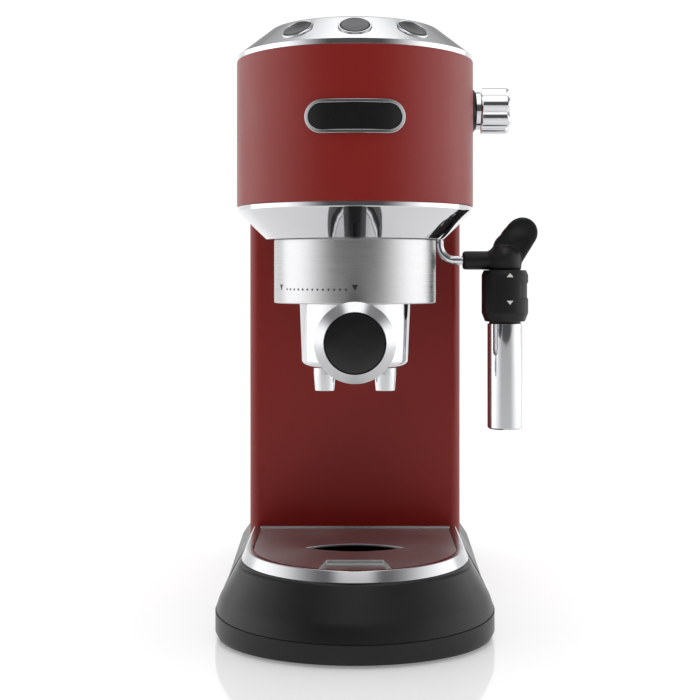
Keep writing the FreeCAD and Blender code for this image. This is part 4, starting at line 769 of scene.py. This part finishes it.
def bezelProfile():
    shape = buttonShape
    inner = shape["radius"] + shape["bezelGap"]
    outer = inner + shape["bezelWidth"]
    top = shape["bezelProud"]
    return [(inner, -shape["bezelDepth"]), (outer, -shape["bezelDepth"]),
            (outer, top - shape["bezelOuterEdge"]), (outer - shape["bezelOuterEdge"], top),
            (inner + shape["bezelInnerEdge"], top), (inner, top - shape["bezelInnerEdge"])]


def makeButtons():
    shape = buttonShape
    bezels = bmesh.new()
    for node, name in buttonNames.items():
        out = -Vector(joints[node + "_press"]["axis"]).normalized()
        level = Vector((out.x, out.y, 0)).normalized()
        centre = Vector((midX, groupY, shape["height"])) + level * shape["ring"]
        bm = bmesh.new()
        turn(bm, buttonProfile(), centre, out, steps=shape["steps"])
        softenEdges(bm, shape["edge"], degrees=40)
        standFor(node, name, bm)
        turn(bezels, bezelProfile(), centre, out, steps=shape["steps"], closed=True)
    standFor("button_bezels", "buttonBezels", bezels)


makeButtons()
print("buttons made")


# Steam knob: a body of six broad lobes beyond a plain collar, and the black bezel it turns in front of
knobShape = {"lobes": 6, "turned": 20, "lobeRadius": 5.6 * mm, "outlineSteps": 180,
             "collarRadius": 10.4 * mm, "collarStart": 1.5 * mm, "collarEnd": 4.3 * mm,
             "collarEdge": 0.35 * mm, "grooveRadius": 8.6 * mm, "grooveEnd": 5.6 * mm, "bore": 3.4 * mm,
             "bodyStart": 5.1 * mm, "beyond": 0.9 * mm, "endRound": 2.4 * mm, "roundSteps": 5,
             "scallop": 2.8 * mm,
             "endRings": ((0.68, 0.7), (0.54, 0.35), (0.42, 0.1), (0.34, 0.0)),
             "pan": ((0.3 * mm, 0), (0.4 * mm, -0.4 * mm))}
bezelShape = {"edge": 0.5 * mm, "gap": 0.25 * mm, "boreShare": 0.5, "taper": 1.2 * mm}


def lobedRadius(radius, angle):
    step = 2 * math.pi / knobShape["lobes"]
    off = (angle - math.radians(knobShape["turned"]) + step / 2) % step - step / 2
    ring = radius - knobShape["lobeRadius"]
    return ring * math.cos(off) + math.sqrt(knobShape["lobeRadius"] ** 2 - (ring * math.sin(off)) ** 2)


def notchShare(radius, angle):  # 0 on a lobe, 1 midway between two
    deepest = lobedRadius(radius, math.radians(knobShape["turned"]) + math.pi / knobShape["lobes"])
    return (radius - lobedRadius(radius, angle)) / (radius - deepest)


def knobRings(radius, length):  # how far along, how wide and how far fallen back each ring of the body is
    shape = knobShape
    straight = length - shape["endRound"]
    rings = [(straight, 1, 0)]
    for i in range(1, shape["roundSteps"] + 1):
        angle = math.pi / 2 * i / shape["roundSteps"]
        drawnIn = shape["endRound"] * (1 - math.cos(angle)) / radius
        rings.append((straight + shape["endRound"] * math.sin(angle), 1 - drawnIn, math.sin(angle)))
    return rings + [(length, share, fall) for share, fall in shape["endRings"]]


def makeSteamKnob():
    shape = knobShape
    low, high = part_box("steam_knob")
    radius = (high.z - low.z) / 2
    axisAt = Vector((low.x, knobAxis.y, knobAxis.z))
    bm = bmesh.new()
    turn(bm, [(shape["bore"], shape["collarStart"]), (shape["collarRadius"], shape["collarStart"]),
              (shape["collarRadius"], shape["collarEnd"]), (shape["grooveRadius"], shape["collarEnd"]),
              (shape["grooveRadius"], shape["grooveEnd"]), (shape["bore"], shape["grooveEnd"])],
         axisAt, rightward, closed=True)
    softenEdges(bm, shape["collarEdge"], degrees=40)
    outline = bmesh.ops.create_circle(bm, segments=shape["outlineSteps"], radius=1, cap_ends=True)["verts"]
    for vert in outline:
        angle = math.atan2(vert.co.y, vert.co.x)
        reach = lobedRadius(radius, angle)
        vert.co = axisAt + Vector((shape["bodyStart"], -reach * math.cos(angle), reach * math.sin(angle)))
    face = outline[0].link_faces[0]
    at, size, fallen = 0, 1, 0
    for along, share, fall in knobRings(radius, high.x - low.x + shape["beyond"] - shape["bodyStart"]):
        raised = bmesh.ops.extrude_face_region(bm, geom=[face])["geom"]
        if at > 0:  # only the first face stays, as the body's back
            bmesh.ops.delete(bm, geom=[face], context="FACES_ONLY")
        face = pick(raised, bmesh.types.BMFace)[0]
        bmesh.ops.translate(bm, vec=rightward * (along - at), verts=face.verts)
        ratio = share / size
        bmesh.ops.scale(bm, vec=(1, ratio, ratio), space=Matrix.Translation(-axisAt), verts=face.verts)
        for vert in face.verts:  # the end falls back between the lobes
            off = vert.co - axisAt
            vert.co.x -= shape["scallop"] * notchShare(radius, math.atan2(off.z, -off.y)) * (fall - fallen)
        at, size, fallen = along, share, fall
    for thickness, depth in shape["pan"]:  # a shallow pan in the middle of the end
        bmesh.ops.inset_region(bm, faces=[face], thickness=thickness, depth=depth, use_even_offset=True)
    standFor("steam_knob", "steamKnob", bm)


def makeKnobBezel():
    low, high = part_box("knob_bezel")
    radius = (high.z - low.z) / 2
    inner = radius * bezelShape["boreShare"]
    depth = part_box("steam_knob")[0].x + knobShape["collarStart"] - bezelShape["gap"] - low.x
    bm = bmesh.new()
    turn(bm, [(inner, 0), (radius, 0), (radius, high.x - low.x), (radius - bezelShape["taper"], depth),
              (inner, depth)], Vector((low.x, knobAxis.y, knobAxis.z)), rightward, closed=True)
    softenEdges(bm, bezelShape["edge"], degrees=25)
    standFor("knob_bezel", "knobBezel", bm)


makeSteamKnob()
makeKnobBezel()
print("steam knob made")


# Rubber grip of the steam wand: arm, hub and finger paddle flow into one another
gripShape = {"hubLevel": 186.7 * mm, "hubFoot": 5.0 * mm, "hubAt": (-0.7, 0, 0.4),
             "hubRadii": (9.4, 9.2, 8.4), "hubSteps": 48, "bladeThick": 7.2 * mm, "bladeSteps": 64,
             "blades": ((2.6, 6.2, 8.8), (6.0, 10.9, 8.5), (8.4, 14.2, 8.2)),  # across, up, radius in mm
             "voxel": 0.45 * mm, "ease": 0.5, "smoothing": 45, "fuller": 0.3 * mm,
             "dishAt": (7.0, 0, 12.2), "dishRadius": 6.4 * mm, "dishDepth": 1.0 * mm}


def flowTogether(bm):  # one skin over all the forms, smoothed and swelled a little
    mesh = bpy.data.meshes.new("gripForm")
    bm.to_mesh(mesh)
    bm.free()
    form = bpy.data.objects.new("gripForm", mesh)
    bpy.context.scene.collection.objects.link(form)
    skin = form.modifiers.new("skin", "REMESH")
    skin.mode = "VOXEL"
    skin.voxel_size = gripShape["voxel"]
    flow = form.modifiers.new("flow", "SMOOTH")
    flow.factor = gripShape["ease"]
    flow.iterations = gripShape["smoothing"]
    fuller = form.modifiers.new("fuller", "DISPLACE")
    fuller.mid_level = 0
    fuller.strength = gripShape["fuller"]
    bpy.context.view_layer.update()
    shaped = bpy.data.meshes.new_from_object(form.evaluated_get(bpy.context.evaluated_depsgraph_get()))
    bpy.data.objects.remove(form)
    skinned = bmesh.new()
    skinned.from_mesh(shaped)
    return skinned


def makeWandGrip():
    shape = gripShape
    bm = bmesh.new()
    bm.from_mesh(nodes["wand_grip"].data)
    bmesh.ops.remove_doubles(bm, verts=bm.verts[:], dist=nearly)
    hubAt = frotherAxis + upward * shape["hubLevel"]
    ball = bmesh.ops.create_uvsphere(bm, u_segments=shape["hubSteps"], v_segments=shape["hubSteps"] // 2,
                                     radius=mm)["verts"]
    bmesh.ops.scale(bm, vec=shape["hubRadii"], verts=ball)
    bmesh.ops.translate(bm, vec=hubAt + Vector(shape["hubAt"]) * mm, verts=ball)
    for vert in ball:  # flat underneath, over the collar
        vert.co.z = max(vert.co.z, hubAt.z - shape["hubFoot"])
    lying = Matrix.Rotation(math.pi / 2, 4, "X")
    for x, z, radius in shape["blades"]:  # the finger paddle narrows towards its tip
        bmesh.ops.create_cone(bm, cap_ends=True, segments=shape["bladeSteps"], radius1=radius * mm,
                              radius2=radius * mm, depth=shape["bladeThick"],
                              matrix=Matrix.Translation(hubAt + Vector((x, 0, z)) * mm) @ lying)
    bm = flowTogether(bm)
    dishAt = hubAt + Vector(shape["dishAt"]) * mm
    for vert in bm.verts:  # a shallow dish for the finger tip
        off = (vert.co - dishAt).xz.length / shape["dishRadius"]
        if vert.co.y < dishAt.y and off < 1:
            vert.co.y += shape["dishDepth"] * (1 - off * off) ** 2
    standFor("wand_grip", "wandGrip", bm, even=False)


makeWandGrip()


# Frother: collar with a sunk window, sleeve with a rolled foot
collarShape = {"outer": 12.7 * mm, "footBevel": 1.8 * mm, "footRise": 4.6 * mm, "topBevel": 1.2 * mm,
               "topDrop": 2.6 * mm, "bore": 8.9 * mm, "skirtBore": 10.1 * mm, "skirtRise": 10.0 * mm,
               "edge": 0.5 * mm, "windowFoot": 12.5 * mm, "windowTop": 21.1 * mm, "windowFrom": 34,
               "windowTo": 112, "windowEdge": 0.35 * mm, "windowDepth": 0.6 * mm, "markAngle": 6,
               "arrow": 1.8 * mm, "arrowTall": 2.16 * mm, "arrowUp": 24.2 * mm, "arrowDown": 11.5 * mm,
               "arrowSunk": 0.12 * mm, "ink": 0.16 * mm}
sleeveShape = {"wall": 0.7 * mm, "rolled": 1.0 * mm, "edge": 0.25 * mm}


def inWindow(face, axisAt):  # the part of the outer wall that is sunk
    shape = collarShape
    centre = face.calc_center_median() - axisAt
    angle = math.degrees(math.atan2(centre.x, -centre.y))
    outside = centre.xy.length > (shape["outer"] + shape["skirtBore"]) / 2
    return (outside and shape["windowFoot"] < centre.z < shape["windowTop"]
            and shape["windowFrom"] < angle < shape["windowTo"])


def makeFrotherCollar():
    shape = collarShape
    outer = shape["outer"]
    height = collarHigh.z - collarLow.z
    axisAt = frotherAxis + upward * collarLow.z
    wall = [(outer - shape["footBevel"], 0), (outer, shape["footRise"]), (outer, shape["windowFoot"]),
            (outer, shape["windowTop"]), (outer, height - shape["topDrop"]),
            (outer - shape["topBevel"], height)]
    inside = [(shape["bore"], height), (shape["bore"], shape["skirtRise"]),
              (shape["skirtBore"], shape["skirtRise"]), (shape["skirtBore"], 0)]
    bm = bmesh.new()
    turn(bm, wall + inside, axisAt, upward, closed=True)
    window = [face for face in bm.faces if inWindow(face, axisAt)]
    bmesh.ops.inset_region(bm, faces=window, thickness=shape["windowEdge"], depth=-shape["windowDepth"],
                           use_even_offset=True)
    softenEdges(bm, shape["edge"], degrees=18)
    standFor("frother_collar", "frotherCollar", bm)
    marks = bmesh.new()
    out, across = roundAxis(shape["markAngle"])
    arrow = [(-shape["arrow"], 0), (shape["arrow"], 0), (0, shape["arrowTall"])]
    for direction, level in ((1, shape["arrowUp"]), (-1, shape["arrowDown"])):
        at = axisAt + out * (outer - shape["arrowSunk"]) + upward * level
        plate(marks, arrow, at, across * direction, upward * direction, out, shape["ink"])
    placePiece("collarArrows", marks, finishes["whiteMark"], "frother_collar")


def makeFrotherSleeve():
    low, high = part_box("frother_sleeve")
    wall = sleeveShape["wall"]
    outer = (high.x - low.x) / 2
    inner = outer - wall
    foot = inner - sleeveShape["rolled"]
    length = high.z - low.z
    axisAt = Vector(((low.x + high.x) / 2, (low.y + high.y) / 2, low.z))
    bm = bmesh.new()
    turn(bm, [(foot, 0), (inner, 0), (outer, wall), (outer, length), (inner, length), (inner, 2 * wall),
              (foot, wall)], axisAt, upward, closed=True)
    softenEdges(bm, sleeveShape["edge"], degrees=30)
    standFor("frother_sleeve", "frotherSleeve", bm)


makeFrotherCollar()
makeFrotherSleeve()
print("steam wand made")


# Marks at the back: water levels on the tank, a line and a ring on the switch
tankMarks = {"levels": (0.25, 0.5, 0.75, 0.92), "halves": (9.0 * mm, 9.0 * mm, 9.0 * mm, 13.5 * mm),
             "thick": 0.45 * mm, "sunk": 0.02 * mm, "ink": 0.12 * mm}
switchMarks = {"line": (0.3 * mm, 1.4 * mm), "ring": (1.45 * mm, 0.95 * mm), "ringSteps": 32,
               "ink": 0.08 * mm, "facing": 0.85}


def makeWaterMarks():
    low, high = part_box("water_tank")
    marks = bmesh.new()
    for share, half in zip(tankMarks["levels"], tankMarks["halves"]):
        at = Vector((midX, high.y - tankMarks["sunk"], low.z + (high.z - low.z) * share))
        plate(marks, bar(half, tankMarks["thick"]), at, -rightward, upward, -frontward, tankMarks["ink"])
    placePiece("waterLevels", marks, finishes["whiteMark"], "water_tank")


def makeSwitchMarks():  # one on each of the rocker's two slopes
    low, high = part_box("power_rocker")
    outer, inner = switchMarks["ring"]
    ink = switchMarks["ink"]
    rocker = mergedCopy("power_rocker")
    slopes = [face for face in rocker.faces if face.normal.y > switchMarks["facing"]]
    slopes = sorted(slopes, key=lambda face: -face.calc_area())[:2]
    marks = bmesh.new()
    for face in slopes:
        at = face.calc_center_median()
        out = face.normal.copy()
        if at.z > (low.z + high.z) / 2:
            plate(marks, bar(*switchMarks["line"]), at, rightward, rightward.cross(out), out, ink)
        else:
            turn(marks, [(inner, 0), (outer, 0), (outer, ink), (inner, ink)], at, out,
                 steps=switchMarks["ringSteps"], closed=True)
    rocker.free()
    placePiece("switchMarks", marks, finishes["whiteMark"], "power_rocker")


makeWaterMarks()
makeSwitchMarks()
print("marks made")


# CAD nodes that stay get their procedural finish
for name, node in nodes.items():
    if name not in replacedNodes:
        for materialSlot in node.material_slots:
            materialSlot.material = finishes[slotOf[name]]
print("CAD nodes kept:", len(nodes) - len(replacedNodes))


# Studio: glossy pale floor, low white wall, and a sky with a panel at each side and one overhead
studio = {"floorHalf": 3.0, "floorFront": -2.5, "wallAt": 1.2, "wallRadius": 0.6, "wallSteps": 24,
          "wallRise": 0.14, "grain": 60.0, "patch": 0.8, "white": (1, 1, 1, 1), "black": (0, 0, 0, 1),
          "floorColours": ((0.90, 0.90, 0.90), (0.92, 0.92, 0.92)), "floorRough": 0.09, "floorGlow": 0.24,
          "wallColours": ((0.96, 0.96, 0.96), (1, 1, 1)), "wallGlow": 1.06}
skyLight = {"base": 0.36, "frontDim": 0.28, "aheadSpan": (-0.95, -0.05), "sideGlow": 1.6,
            "sideSpan": (0.38, 0.86), "sideHeight": (0.25, 0.70), "topGlow": 1.6, "topHeight": (0.45, 0.72),
            "topWidth": (0.20, 0.40), "topBack": (0.3, 0.62), "backDim": 0.3}


def stageMaterial(name, colours, colourSocket, values):
    material, tree, shader, place = startMaterial(name)
    scales = {"Grain Scale": studio["grain"], "Patch Scale": studio["patch"]}
    grain = groupNode(tree, grainGroup, place, scales)
    tree.links.new(mixColours(tree, grain["Patch"], *colours), shader.inputs[colourSocket])
    for socket, value in values.items():
        shader.inputs[socket].default_value = value
    return material


def addStage(name, bm, material):
    mesh = bpy.data.meshes.new(name)
    bm.to_mesh(mesh)
    bm.free()
    mesh.shade_smooth()
    mesh.materials.append(material)
    piece = bpy.data.objects.new(name, mesh)
    bpy.context.scene.collection.objects.link(piece)


def makeFloor():
    material = stageMaterial("paleFloor", studio["floorColours"], "Base Color",
                             {"Roughness": studio["floorRough"], "Emission Color": studio["white"],
                              "Emission Strength": studio["floorGlow"]})
    depth = studio["wallAt"] - studio["floorFront"]
    bm = bmesh.new()
    bmesh.ops.create_grid(bm, x_segments=1, y_segments=1, size=0.5)
    bmesh.ops.scale(bm, vec=(2 * studio["floorHalf"], depth, 1), verts=bm.verts[:])
    bmesh.ops.translate(bm, vec=(0, studio["floorFront"] + depth / 2, 0), verts=bm.verts[:])
    addStage("paleFloor", bm, material)


def makeWall():  # bends up from the floor's back edge
    material = stageMaterial("paleWall", studio["wallColours"], "Emission Color",
                             {"Base Color": studio["black"], "Emission Strength": studio["wallGlow"],
                              "Specular IOR Level": 0})
    bm = bmesh.new()
    foot = [bm.verts.new((side * studio["floorHalf"], studio["wallAt"], 0)) for side in (-1, 1)]
    line = bm.edges.new(foot)
    bend = bmesh.ops.spin(bm, geom=foot + [line], cent=(0, studio["wallAt"], studio["wallRadius"]),
                          axis=rightward, angle=math.pi / 2, steps=studio["wallSteps"])["geom_last"]
    top = bmesh.ops.extrude_edge_only(bm, edges=pick(bend, bmesh.types.BMEdge))["geom"]
    bmesh.ops.translate(bm, vec=upward * studio["wallRise"], verts=pick(top, bmesh.types.BMVert))
    addStage("paleWall", bm, material)


def makeSky():
    world = bpy.data.worlds.new("studioSky")
    world.use_nodes = True
    tree = world.node_tree
    background = tree.nodes["Background"].inputs
    split = tree.nodes.new("ShaderNodeSeparateXYZ")
    tree.links.new(tree.nodes.new("ShaderNodeTexCoord").outputs["Generated"], split.inputs["Vector"])
    x, y, z = (split.outputs[axis] for axis in "XYZ")
    aside = mathNode(tree, "ABSOLUTE", x, 0)

    def soft(value, span, low, high):
        return spreadNode(tree, value, skyLight[span], low, high, "SMOOTHSTEP")

    def times(first, second):
        return mathNode(tree, "MULTIPLY", first, second)

    sides = times(soft(aside, "sideSpan", 0, skyLight["sideGlow"]), soft(z, "sideHeight", 1, 0))
    even = mathNode(tree, "ADD", sides, skyLight["base"])
    around = times(even, soft(y, "aheadSpan", skyLight["frontDim"], 1))
    panel = times(soft(aside, "topWidth", 1, 0), soft(y, "topBack", 1, skyLight["backDim"]))
    glow = mathNode(tree, "ADD", around, times(soft(z, "topHeight", 0, skyLight["topGlow"]), panel))
    seen = tree.nodes.new("ShaderNodeLightPath").outputs["Is Camera Ray"]  # white where it shows
    background["Color"].default_value = studio["white"]
    tree.links.new(mathNode(tree, "MAXIMUM", glow, seen), background["Strength"])
    bpy.context.scene.world = world


makeFloor()
makeWall()
makeSky()
bpy.context.scene.view_settings.view_transform = "Standard"
print("studio set")
